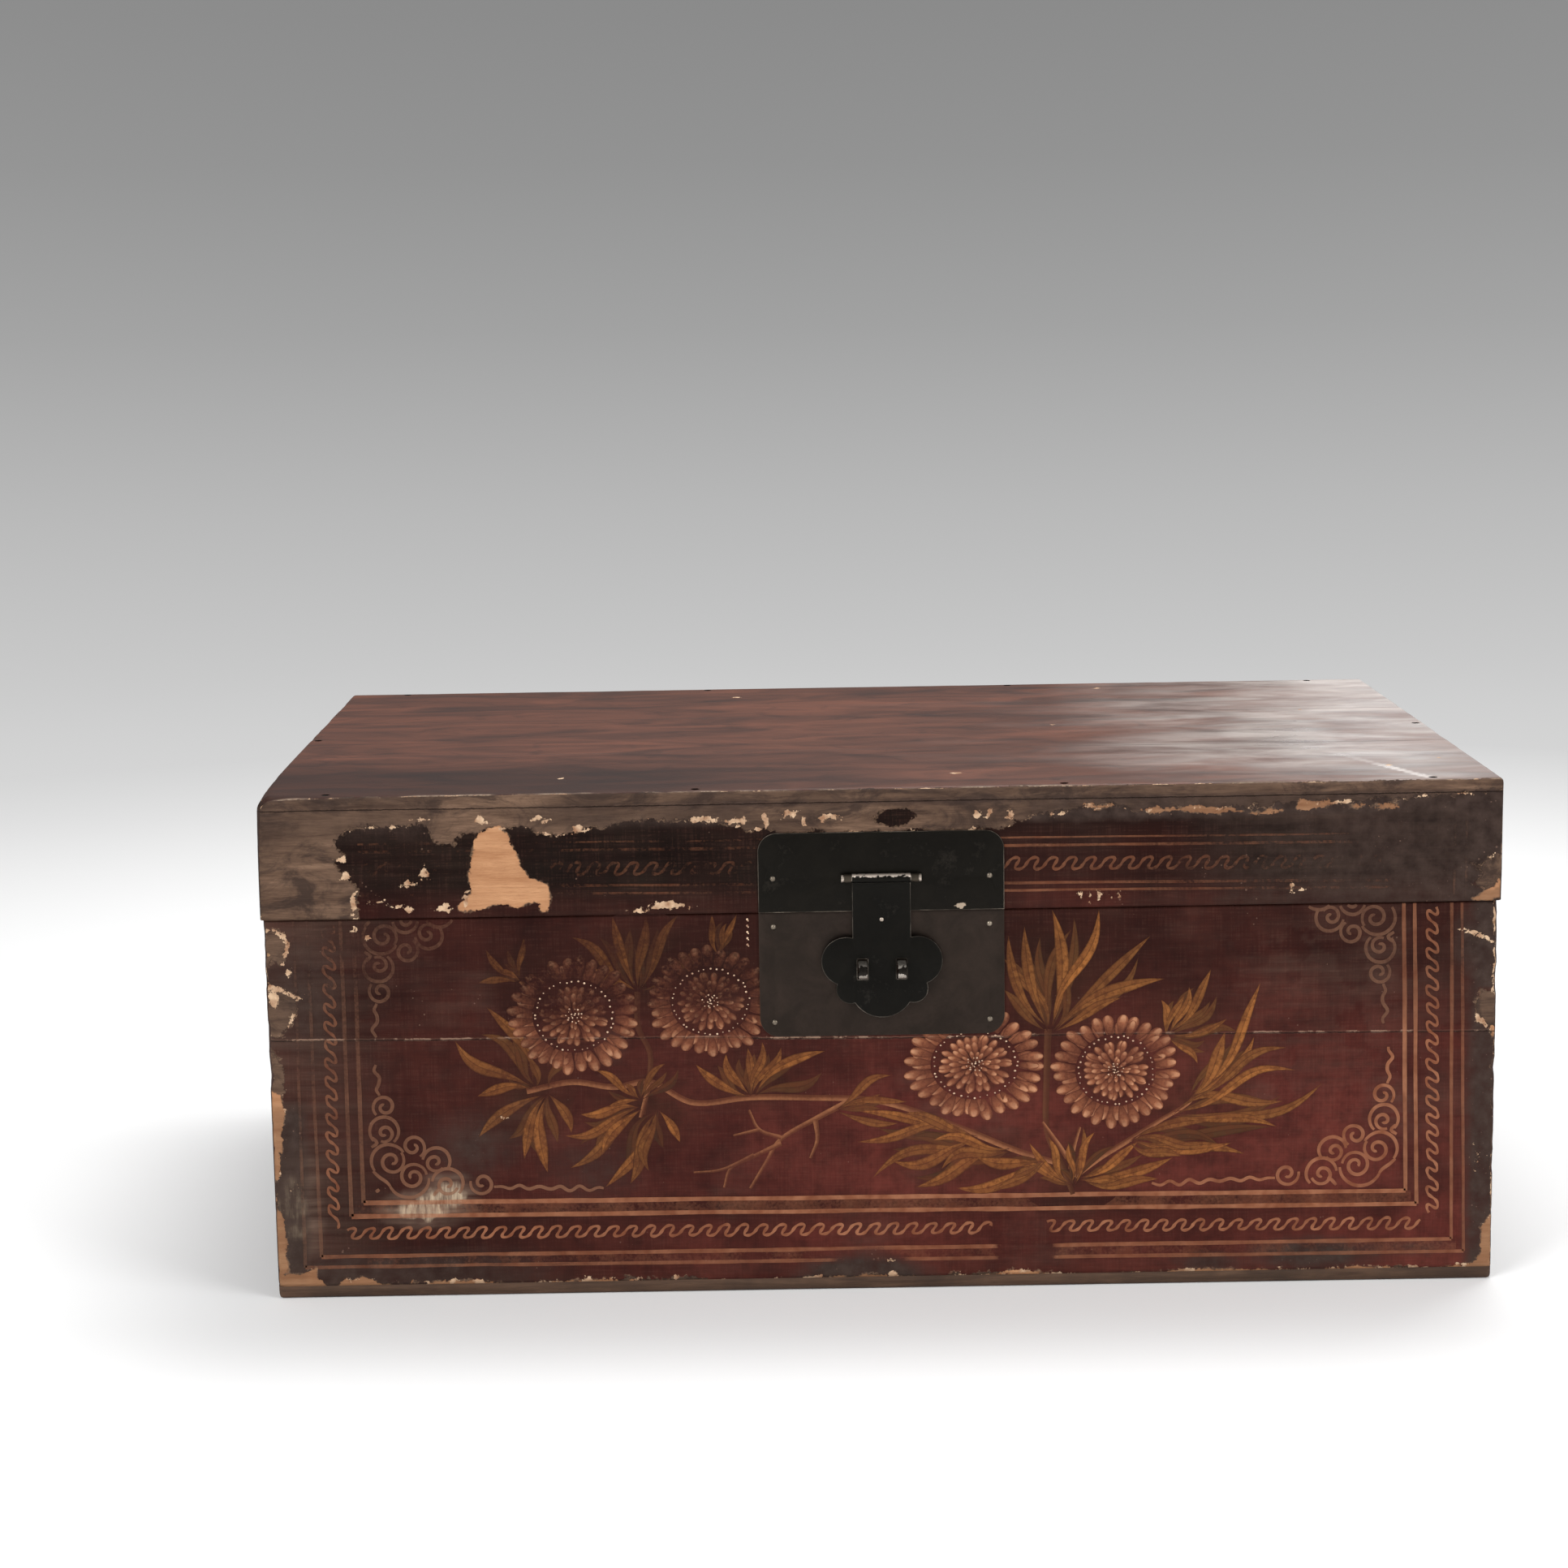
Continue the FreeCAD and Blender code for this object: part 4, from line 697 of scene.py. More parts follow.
def plain_side_masks(seed, half, low, high, joint, red=0.3, dust=0.16):
    """Wear of an undecorated face: flakes and soot at its edges, a few spots in it, and a board joint."""
    random = np.random.RandomState(seed)
    ovals = [[random.uniform(*ends) for ends in ((-half, half), (low, high), (6, 26), (4, 13))]
             for _ in range(9)]

    def masks(u, v):
        wu, wv = strayed(u, 6, u, v, 10, seed), strayed(v, 6, u, v, 10, seed + 1)
        edge = np.minimum(half - np.abs(u), np.minimum(v - low, high - v) * 1.4)
        old, fresh = edge_flakes(edge, u, v, seed + 2, 4.5, 18), np.full(u.shape, unworn)
        for number, (cu, cv, width, height) in enumerate(ovals):
            if number % 3:
                old = np.maximum(old, spot(wu, wv, cu, cv, width, height))
            else:
                fresh = np.maximum(fresh, spot(wu, wv, cu, cv, width * 0.6, height * 0.6))
        chip = edge_flakes(edge, u, v, seed + 3, 2.0, 9) - 1
        way = v - joint - 0.8 * (value_noise(u, u * 0, 60, seed) - 0.5)
        black = np.maximum(0.8 * share((22 - edge) / 22) * value_noise(u, v, 30, seed + 6) * 1.6,
                           1.6 * share(value_noise(u, v, 75, seed + 7) - 0.58))
        return wear(old, fresh, chip, way, 0.7, strayed(red, 0.4, u, v, 120, seed + 4),
                    strayed(dust, 0.3, u, v, 70, seed + 5), 0.7, black, 0.9)
    return masks


box_rows = np.linspace(9, 269, 119)
coat("box_front_paint", "box", steps_along(-423, 423, 1.0, 2.2), box_rows,
     lambda u, v: on_box(u, box_low[1], v), (0, 1, 0), box_front_masks)
coat("box_back_paint", "box", steps_along(-423, 423, 1.0, 4.5), box_rows[::2],
     lambda u, v: on_box(-u, box_high[1], v), (0, -1, 0), plain_side_masks(301, 423, 9, 269, 181))
side_steps = steps_along(-264, 264, 1.0, 4.0)
coat("box_left_paint", "box", side_steps, box_rows[::2],
     lambda u, v: on_box(box_low[0], 1 - u, v), (1, 0, 0), plain_side_masks(302, 264, 9, 269, 181))
coat("box_right_paint", "box", side_steps, box_rows[::2],
     lambda u, v: on_box(box_high[0], 1 + u, v), (-1, 0, 0), plain_side_masks(303, 264, 9, 269, 181))


def lid_front_masks(x, z):
    """Wear of the lid front: black, bared to grey wood at its left end and along its top edge."""
    wx, wz = strayed(x, 5, x, z, 8, 61), strayed(z, 5, x, z, 8, 62)
    painted = [(-372, 324), (-360, 332), (-322, 334), (-309, 332), (-306, 323), (-292, 320), (-285, 326),
               (-253, 333), (-236, 330), (-219, 324), (-205, 329), (-188, 331), (-163, 336), (-135, 334),
               (-109, 331), (-84, 327), (-50, 324), (30, 324), (84, 326), (98, 334), (150, 340), (176, 336),
               (310, 340), (400, 344), (430, 346), (430, 262), (-357, 262), (-357, 284), (-360, 294),
               (-370, 303), (-371, 310), (-366, 315)]
    torn = within(wx, wz, [(400, 297), (412, 295), (421, 302), (427, 301), (427, 280), (416, 276), (404, 281),
                           (410, 289)])
    old = np.maximum(-within(wx, wz, painted), torn)
    bell = [(-267, 332), (-259, 332), (-253, 325), (-252, 319), (-248, 313), (-245, 304), (-240, 296),
            (-226, 291), (-226, 284), (-228, 272), (-232, 273), (-233, 278), (-238, 280), (-245, 277),
            (-250, 275), (-255, 278), (-266, 277), (-277, 274), (-293, 275), (-283, 282), (-280, 288),
            (-281, 296), (-280, 308), (-276, 325)]
    fresh = within(strayed(x, 1.6, x, z, 4, 64), strayed(z, 1.6, x, z, 4, 65), bell)
    fresh = np.maximum(fresh, flakes(wx, wz, (
        [(176, 337), (188, 338.6), (192, 335.6), (212, 338.6), (226, 338.4), (237, 335.6), (260, 334),
         (264, 336), (276, 334.6), (268, 332.4), (224, 334.4), (195, 334), (178, 335)],
        [(285, 341), (312, 340.6), (304, 337.6), (293, 335), (284, 336)],
        [(406, 270), (412, 277), (420, 279), (423, 285), (427, 284), (426, 270)]), (
        (150, 340, 22, 3.5), (325, 337.5, 10, 3), (343.5, 336.8, 12, 4.5))))
    chip = np.maximum(unworn, flakes(strayed(wx, 5, x, z, 3.4, 58), strayed(wz, 4, x, z, 3.4, 57), (), (
        (-312, 337, 10, 3), (-272, 336, 9, 4.5), (-311, 301, 3.6, 10), (-323, 293, 10, 3.4),
        (-361, 281, 4.5, 18), (-344, 281, 10, 3), (-330, 278.5, 12, 3), (-322, 276, 9, 3.4), (-300, 275, 12, 4),
        (-231, 336.5, 12, 4), (-122, 334, 20, 3), (-99, 334, 18, 4.4), (-78, 334, 3.4, 9), (-62, 337, 12, 3.4),
        (-52, 332, 3, 8), (-36, 335, 13, 4), (-366, 300, 7, 5), (-283, 283, 3.4, 13), (-146, 275, 26, 4),
        (-166, 272, 14, 2.6), (-369, 312, 6, 5), (-358, 268, 4, 6), (-205, 330, 8, 4), (66, 335.5, 5, 4),
        (74, 335.5, 5, 4), (88, 334, 5, 5), (281, 281, 3, 6), (286, 279, 5, 2.4), (136, 277, 1.6, 6),
        (143, 276, 1.5, 4), (150, 277, 1.6, 5), (157, 276, 1.4, 4), (163, 276, 1.6, 4))))
    chip = np.maximum(chip, 6.0 * (value_noise(x, z, 8, 56) - 0.6) - np.abs(old + 0.4))
    old = np.minimum(old, -2 * spot(x, z, 9.2, 334, 27, 12.5) - 0.3)
    red = 0.22 * share((x - 60) / 60) * share((250 - x) / 110) * share((332 - z) / 20)
    red += 0.22 * share((292 - z) / 16) + 0.2 * (value_noise(x, z, 70, 67) - 0.5)
    strip = share((z - 328 - 4 * (value_noise(x, z, 16, 60) - 0.5)) / 5)
    dust = (0.02 + 0.14 * share((x - 200) / 160) + 0.8 * share((z - 345.5) / 3)
            + 0.12 * (value_noise(x, z, 40, 68) - 0.4))
    dust += 0.35 * strip * share((x - 88) / 16) * share(value_noise(x, z, 5, 59) * 2 - 0.9)
    soot = np.maximum.reduce((
        0.62 * share((x - 190) / 140) + 0.35 * share((x - 385) / 20),
        strip * (0.95 * share((x - 88) / 16) + 0.62 * share((-80 - x) / 20) * share((x + 260) / 30)),
        0.8 * share((z - 341) / 3) * share((x + 300) / 90))) * np.clip((348 - z) / 2, 0.12, 1)
    soot = np.maximum(soot * (1 - 0.85 * share(torn + 0.5)),
                      0.5 * share((z - 320) / 14) * share((-285 - x) / 30))
    joint = strayed(z - lid_board_top, 0.7, x, x * 0, 80, 66)
    return wear(old, fresh, chip, joint, 1.0, red, dust, 0.8, soot, 0.95)


def lid_top_masks(x, y):
    """Wear of the lid's top: plum-brown, rubbed pale at the front arris, clouded with a painted reflection at
    its right end.
    """
    wx, wy = strayed(x, 7, x, y, 12, 71), strayed(y, 7, x, y, 12, 72)
    edge = np.minimum(lid_high[0] - np.abs(x), lid_high[1] - np.abs(y))
    old = edge_flakes(edge, x, y, 73, 2.4, 22)
    random = np.random.RandomState(75)
    ovals = [[random.uniform(*ends) for ends in ((-400, 400), (-240, 240), (3, 9), (3, 7))] for _ in range(9)]
    chip = np.maximum(edge_flakes(edge, x, y, 74, 1.6, 8) - 0.6, flakes(wx, wy, (), ovals))
    scratch = within(x, strayed(y, 3, x, y, 24, 70), [(322, -124), (328, -127), (379, -260), (373, -260)])
    seam = strayed(np.where(y < 0, y + plank_seam, y - plank_seam), 0.6, x, x * 0, 70, 77)
    dust = 0.30 + 0.3 * (value_noise(x * 0.35, y, 45, 79) - 0.45)
    dust += 0.7 * share((6 - (y + 265)) / 5) * share(value_noise(x, y, 18, 80) * 1.6)
    soot = 0.5 * share((9 - edge) / 9) * value_noise(x, y, 20, 81)
    # Paler towards the right end: real clouding mixed with a painted reflection of raking light.
    bloom_and_painted_light = share((x - 150) / 230) * (0.45 + 0.4 * share((y + 200) / 300))
    # Pale patches of clouding and painted reflection, and the pale scratch.
    bloom_and_painted_light += (0.35 * near(wx, wy, 250, 60, 260, 300) + 0.7 * near(wx, wy, 270, -130, 330, 230)
              + 0.8 * share(scratch + 1))
    # A painted highlight near the right end, with streaks.
    bloom_and_painted_light += (0.8 * near(wx, wy, 305, -40, 90, 240)
              + 0.3 * (value_noise(x * 0.4, y, 30, 82) - 0.5) * share((x + 100) / 300))
    # Painted shade at the front left of the top.
    bloom_and_painted_light -= 0.5 * share((20 - x) / 160) * share((-90 - y) / 90)
    red = strayed(0.32, 0.3, x, y, 150, 78)
    return (wear(old, np.full(x.shape, unworn), chip, seam, 1.0, red, dust, 0.98, soot, 0.9)
            | {"bloom_and_painted_light": np.clip(bloom_and_painted_light, -0.5, 0.95)})


# The lid's top has a harder, glossier coat than the walls: plum-brown, hazed and streaked along the boards by
# wiping, with clouding and a painted reflection pale at its right end, and painted shade at its front left.
lid_top_lacquer, net, surface = new_material("lid_top_lacquer")
coat_look = lacquer_on(net)
place = net.place()
wiped = net.noise(place, 16, 5, 0.6, 0.9, (0.5, 1.5, 1.0))
plum = net.mix(net.span(wiped, 0.3, 0.7), (51, 29, 22), (110, 67, 51))
plum = net.mix(net.span(net.noise(place, 34, 5, 0.62, 0.8), 0.56, 0.74, 0.0, 0.5), plum, (38, 24, 21))
bloom_and_painted_light = net.read("bloom_and_painted_light")
veins = net.span(net.noise(place, 22, 5, 0.62, 0.45, (0.55, 1.4, 1.0)), 0.36, 0.66)
# Painted shade at the front left, then the pale streaks of clouding and painted reflection.
plum = net.layers(
    plum, (net.span(bloom_and_painted_light, 0.0, -0.5, 0.0, 0.7), (34, 21, 18)),
    (held(bloom_and_painted_light * net.span(veins, 0, 1, 0.22, 1.1)), (176, 164, 157)))
bare = held(1.0 - coat_look["Paint Left"])
joint = net.read("joint")
at_joint = net.span(abs(joint), 0.9, 0.4)
dust = net.read("dust")
worn_arris = net.span(dust, 0.72, 0.95)
shown = net.math("MAXIMUM", net.math("MAXIMUM", bare, at_joint), worn_arris)
gloss = net.span(wiped, 0.3, 0.7, 0.4, 0.54) - bloom_and_painted_light * 0.16
net.dress(surface, net.mix(shown, plum, coat_look["Color"]), net.blend(shown, gloss, coat_look["Roughness"]),
          coat_look["Height"] + wiped * 0.5, 0.35, 0.2)

lid_rows = np.concatenate((np.linspace(269.4, 341, 44), np.linspace(342, 354.4, 13)))
coat("lid_front_paint", "lid", steps_along(-425, 425, 1.0, 1.9), lid_rows,
     lambda u, v: on_lid(u, lid_low[1], v), (0, 1, 0), lid_front_masks)
coat("lid_back_paint", "lid", steps_along(-425, 425, 1.0, 4.5), lid_rows[::2],
     lambda u, v: on_lid(-u, lid_high[1], v), (0, -1, 0),
     plain_side_masks(304, 425, 269, 354, lid_board_top, 0.1, 0.2))
lid_side_steps = steps_along(-265, 265, 1.0, 4.0)
coat("lid_left_paint", "lid", lid_side_steps, lid_rows[::2],
     lambda u, v: on_lid(lid_low[0], -u, v), (1, 0, 0),
     plain_side_masks(305, 265, 269, 354, lid_board_top, 0.1, 0.25))
coat("lid_right_paint", "lid", lid_side_steps, lid_rows[::2],
     lambda u, v: on_lid(lid_high[0], u, v), (-1, 0, 0),
     plain_side_masks(306, 265, 269, 354, lid_board_top, 0.1, 0.2))
coat("lid_top_paint", "lid", steps_along(-425, 425, 1.0, 3.0), steps_along(-265, 265, 1.0, 3.0),
     lambda u, v: on_lid(u, v, lid_high[2]), (0, 0, -1), lid_top_masks, lid_top_lacquer)

# Painted frame of the box: gold lines ruled round the field with a liner's brush. The gold lies on the
# lacquer, has browned, and is rubbed through in places.
paint_lift = 0.16


def stroke(line, width, tone=0.5, strength=1.0, height=0.0):
    """One brush stroke: a ribbon along a line, with its place along and across the brush."""
    line = np.array(line, float)
    width = np.broadcast_to(np.asarray(width, float), (len(line),))
    way = np.gradient(line, axis=0)
    way /= np.maximum(np.hypot(way[:, 0], way[:, 1]), 1e-9)[:, None]
    across = np.stack((-way[:, 1], way[:, 0]), axis=1)
    sides = np.linspace(-1, 1, 5)
    at = line[:, None, :] + across[:, None, :] * (width[:, None, None] / 2) * sides[None, :, None]
    run = np.repeat(np.linspace(0, 1, len(line))[:, None], 5, axis=1)
    return {"at": at, "run": run, "side": np.repeat(sides[None], len(line), axis=0),
            "tone": tone, "strength": strength, "height": height}


def ruled(start, end, width, strength=1.0, tone=0.5, height=0.0):
    """A line drawn along a straight edge, with a slight waver."""
    start, end = np.array(start, float), np.array(end, float)
    line = start + (end - start) * np.linspace(0, 1, int(np.hypot(*(end - start)) / 4) + 2)[:, None]
    u, v = line[:, 0], line[:, 1]
    waver = np.stack((value_noise(v, u, 55, 93), value_noise(u, v, 55, 94)), axis=1) - 0.5
    return stroke(line + 0.8 * waver, width * (0.75 + 0.5 * value_noise(u, v, 30, 95)), tone, strength, height)


def painted(name, body, strokes, fading, material):
    """Lays brush strokes on a body's front. Fading is what is left of the paint at a place."""
    plane, masks = fronts[body]
    at, quads, attributes, start = [], [], {"run": [], "side": [], "tone": [], "strength": []}, 0
    for item in strokes:
        flat = item["at"].reshape(-1, 2)
        plane_y = np.full(len(flat), plane - paint_lift - item["height"])
        at.append(np.stack((flat[:, 0], plane_y, flat[:, 1]), axis=1))
        quads.append(grid_faces(*item["at"].shape[:2], start))
        attributes["run"].append(item["run"].ravel())
        attributes["side"].append(item["side"].ravel())
        attributes["tone"].append(np.full(len(flat), item["tone"]))
        attributes["strength"].append(item["strength"] * fading(flat[:, 0], flat[:, 1]))
        start += len(flat)
    at, quads = np.vstack(at), np.vstack(quads)
    first, second, third = at[quads[:, 0]], at[quads[:, 1]], at[quads[:, 2]]
    turned = np.cross(second - first, third - first)[:, 1] > 0
    quads[turned] = quads[turned][:, ::-1]
    mesh = bpy.data.meshes.new(name)
    mesh.from_pydata((at / 1000).tolist(), [], quads.tolist())
    add_masks(mesh, {label: np.concatenate(values) for label, values in attributes.items()})
    add_masks(mesh, masks(at[:, 0], at[:, 2]))
    new_piece(name, mesh, body, material)


# Every painted ornament shares this wear: the brushed colour thins out and lets the lacquer through.
brush_wear, given, result = new_group(
    "brush_wear", "ShaderNodeTree", {"Rubbed": "Float", "Strength": "Float"}, {"Cover": "Float"})
net = brush_wear
place = net.place()
rubs = net.noise(place, 60, 4, 0.6) + net.noise(place, 480, 3, 0.6) * 0.6
lost = net.span(rubs, 0.55, 1.05) * given["Rubbed"]
net.fill(result, {"Cover": held(given["Strength"] - lost)})


def start_paint(name, rubbed):
    """A paint on the lacquer: its material, the lacquer under it, its stroke attributes and its cover."""
    material, net, surface = new_material(name)
    under = lacquer_on(net)
    read = {label: net.read(label) for label in ("run", "side", "tone", "strength")}
    cover = net.group(brush_wear, {"Rubbed": rubbed, "Strength": read["strength"]})["Cover"]
    return material, net, surface, under, read, cover * under["Paint Left"]


def finish_paint(net, surface, under, colour, cover):
    net.dress(surface, net.mix(cover, under["Color"], colour), net.blend(cover, under["Roughness"], 0.5),
              under["Height"] + cover * 0.5, 0.6, lacquer_shine)


fronts = {"box": (box_low[1], box_front_masks), "lid": (lid_low[1], lid_front_masks)}
gold_paint, net, surface, under, read, cover = start_paint("browned_gold_paint", 0.42)
place = net.place()
gold = net.mix(net.span(net.noise(place, 120, 3, 0.6), 0.35, 0.65), (132, 80, 56), (174, 117, 86))
gold = net.mix(net.span(read["tone"], 0.5, 1), gold, (116, 84, 66))
finish_paint(net, surface, under, gold, cover)


def frame_fading(x, z):
    """What is left of the frame's gold: least at the top left, most at the lower right."""
    left_over = 0.64 + 0.26 * share((x + 330) / 450) + 0.22 * share((190 - z) / 100)
    left_over -= 0.22 * share((x - 150) / 150) * share((z - 190) / 50) + 0.14 * share((-350 - x) / 8)
    left_over -= 0.18 * share((-240 - x) / 60) * share((z - 180) / 50)
    left_over = left_over * (1 - share(4 * near(x, z, 98, 26, 46, 60)))
    left_over = left_over * (1 - 0.8 * share(3 * near(x, z, -10, 12, 70, 46)))
    return np.clip(left_over + 0.35 * (value_noise(x, z, 70, 91) - 0.5), 0.0, 1)


frame_lines = []
for left_top, left_low, right_low, right_top, width, strength in (
        ((-361.3, 268), (-361.3, 68.2), (362.3, 64.6), (358.0, 268), 2.8, 1.0),
        ((-370.0, 268), (-370.0, 58.6), (370.0, 55.0), (365.5, 268), 2.7, 1.0),
        ((-393.0, 268), (-392.0, 30.0), (394.6, 29.2), (391.0, 268), 2.4, 0.78),
        ((-402.0, 268), (-403.5, 22.6), (403.4, 20.2), (398.0, 268), 2.2, 0.66)):
    frame_lines += [ruled(left_top, left_low, width, 0.85 * strength, 0.85),
                    ruled(left_low, right_low, width * 1.15, strength),
                    ruled(right_low, right_top, width, strength, 0.6)]
frame_lines += [ruled((-365, 63.4), (366, 59.8), 10, 0.36, 0.5, -0.06),
                ruled((-360, 26.4), (398, 24.8), 7, 0.26, 0.5, -0.06)]
painted("box_frame_lines", "box", frame_lines, frame_fading, gold_paint)

# Running waves between the frame's lines: one brushed line that rolls over and over along the border.


def stand_up(net, given, result, geometry):
    """Turns a flat drawing up on to the front, and ends the tree."""
    turned = net.put("GeometryNodeTransform", {"Geometry": geometry, "Rotation": (math.pi / 2, 0, 0)})
    real = net.put("GeometryNodeRealizeInstances", {"Geometry": turned})
    finished = net.put("GeometryNodeSetMaterial", {"Geometry": real, "Material": given["Material"]})
    net.fill(result, {"Geometry": finished})


def store(net, geometry, name, value, domain="POINT"):
    return net.put("GeometryNodeStoreNamedAttribute", {"Geometry": geometry, "Name": name, "Value": value},
                   data_type="FLOAT", domain=domain)


def grow(name, body, fading, net, points, edges, values, attributes):
    """Runs a tree on a drawing given in mm, and makes what comes out a painted piece of a body's front."""
    base = bpy.data.meshes.new("drawing")
    base.from_pydata([[part / 1000 for part in point] for point in points], edges, [])
    add_masks(base, attributes)
    holder = bpy.data.objects.new("drawing", base)
    bpy.context.collection.objects.link(holder)
    modifier = holder.modifiers.new("growth", "NODES")
    modifier.node_group = net.tree
    for item in net.tree.interface.items_tree:
        if item.item_type == "SOCKET" and item.in_out == "INPUT" and item.name in values:
            modifier[item.identifier] = values[item.name]
    mesh = bpy.data.meshes.new_from_object(holder.evaluated_get(bpy.context.evaluated_depsgraph_get()))
    holder.modifiers.remove(modifier)
    bpy.data.objects.remove(holder)
    bpy.data.meshes.remove(base)
    at = points_of(mesh)
    add_masks(mesh, fronts[body][1](at[:, 0], at[:, 2]) | {"strength": fading(at[:, 0], at[:, 2])})
    mesh.name = name
    new_piece(name, mesh, body)


running_wave, given, result = new_group(
    "running_wave", "GeometryNodeTree",
    {"Geometry": "Geometry", "Period": 0.013, "Height": 0.0084, "Lean": 0.0027, "Curl": 0.0011, "Brush": 0.0024,
     "Lift": 0.2632, "Material": "Material"}, {"Geometry": "Geometry"})
net = running_wave
path = net.put("GeometryNodeMeshToCurve", {"Mesh": given["Geometry"]})
path = net.put("GeometryNodeResampleCurve", {"Curve": path, "Length": given["Period"] / 26.0}, mode="LENGTH")
length = net.put("GeometryNodeSplineParameter", output="Length")
wander = net.put("ShaderNodeTexNoise", {"Scale": 30.0, "Detail": 1.0}, "Fac")
phase = length / given["Period"] * (2 * math.pi) + wander * 1.4
tangent = net.put("GeometryNodeInputTangent")
normal = net.vector("CROSS_PRODUCT", (0, 0, 1), tangent)
rise = net.math("SINE", phase)
onward = rise * given["Lean"] - net.math("SINE", phase * 2.0) * given["Curl"]
half_height = given["Height"] * 0.5 * (0.72 + wander * 0.5)
up_by = net.vector("SCALE", normal, Scale=rise * half_height)
on_by = net.vector("SCALE", tangent, Scale=onward)
shift = net.vector("ADD", net.vector("ADD", up_by, on_by), net.xyz(Z=given["Lift"]))
path = net.put("GeometryNodeSetPosition", {"Geometry": path, "Offset": shift})
path = net.put("GeometryNodeSetCurveNormal", {"Curve": path}, mode="Z_UP")
press = net.span(abs(rise), 0.2, 1, 1.0, 0.65)
half_brush = given["Brush"] * 0.5
brush = net.put("GeometryNodeCurvePrimitiveLine",
                {"Start": net.xyz(X=half_brush * -1.0), "End": net.xyz(X=half_brush)})
ribbon = net.put("GeometryNodeCurveToMesh", {"Curve": path, "Profile Curve": brush, "Scale": press})
stand_up(net, given, result, store(net, ribbon, "tone", 0.3))


def wave_path(spots, step=30.0):
    """The middle line of a border, with points close enough to follow its bends."""
    points = []
    for (ax, az), (bx, bz) in zip(spots, spots[1:]):
        for t in np.linspace(0, 1, int(np.hypot(bx - ax, bz - az) / step) + 2)[:-1]:
            points.append((ax + (bx - ax) * t, az + (bz - az) * t, 0))
    return points + [(spots[-1][0], spots[-1][1], 0)]


wave_points, wave_edges = [], []
for spots in (((-378.5, 266), (-382.5, 54)), ((-374, 46.5), (0, 43.5), (72, 43.0)), ((112, 43.5), (372, 41)),
              ((381, 48), (377.5, 266))):
    line = wave_path(spots)
    wave_edges += [(len(wave_points) + step, len(wave_points) + step + 1) for step in range(len(line) - 1)]
    wave_points += line
grow("box_running_waves", "box", frame_fading, running_wave, wave_points, wave_edges,
     {"Lift": 0.2632, "Height": 0.0078, "Material": gold_paint}, {})

# Cloud scrolls in the field's four corners: curls that step along both sides of each corner, tied by a
# scalloped line, and ending in wavering tails. The lid's edge cuts the upper two.


def flowing(points, step=2.0):
    """A smooth brush line through its turning points."""
    points = np.array(points, float)
    padded = np.vstack((2 * points[0] - points[1], points, 2 * points[-1] - points[-2]))
    line = []
    for before, start, end, after in zip(padded, padded[1:], padded[2:], padded[3:]):
        t = np.linspace(0, 1, max(2, int(np.hypot(*(end - start)) / step) + 1), endpoint=False)[:, None]
        line.append(0.5 * (2 * start + (end - before) * t + (2 * before - 5 * start + 4 * end - after) * t ** 2
                           + (3 * start - before - 3 * end + after) * t ** 3))
    return np.vstack(line + [points[-1:]])


def curl(cx, cz, radius, start, turns, inner=0.16):
    """A curl from its rim inwards, in mm. Start is where it begins, in turns; an inner of 1 is a plain arc."""
    t = np.linspace(0, 1, int(30 * abs(turns)) + 6)
    reach = radius * (1 - (1 - inner) * t ** 1.3)
    angle = 2 * math.pi * (start + turns * t)
    return np.stack((cx + reach * np.cos(angle), cz + reach * np.sin(angle)), axis=1)


def wavering(start, end, reach, waves):
    """A tail between two places that sways from side to side, least where it begins."""
    start, end = np.array(start, float), np.array(end, float)
    t = np.linspace(0, 1, int(waves * 10) + 3)[:, None]
    way = (end - start) / np.hypot(*(end - start))
    sway = reach * np.sin(2 * math.pi * waves * t) * share(4 * t) * (0.6 + 0.8 * np.sin(5 * t + 1) ** 2)
    return start + (end - start) * t + sway * np.array((-way[1], way[0]))


def below(line, top):
    """The runs of a line that stay under a height."""
    keep = line[:, 1] < top
    cuts = np.flatnonzero(np.diff(keep.astype(int))) + 1
    return [run for run in np.split(line, cuts) if run[0, 1] < top and len(run) > 3]


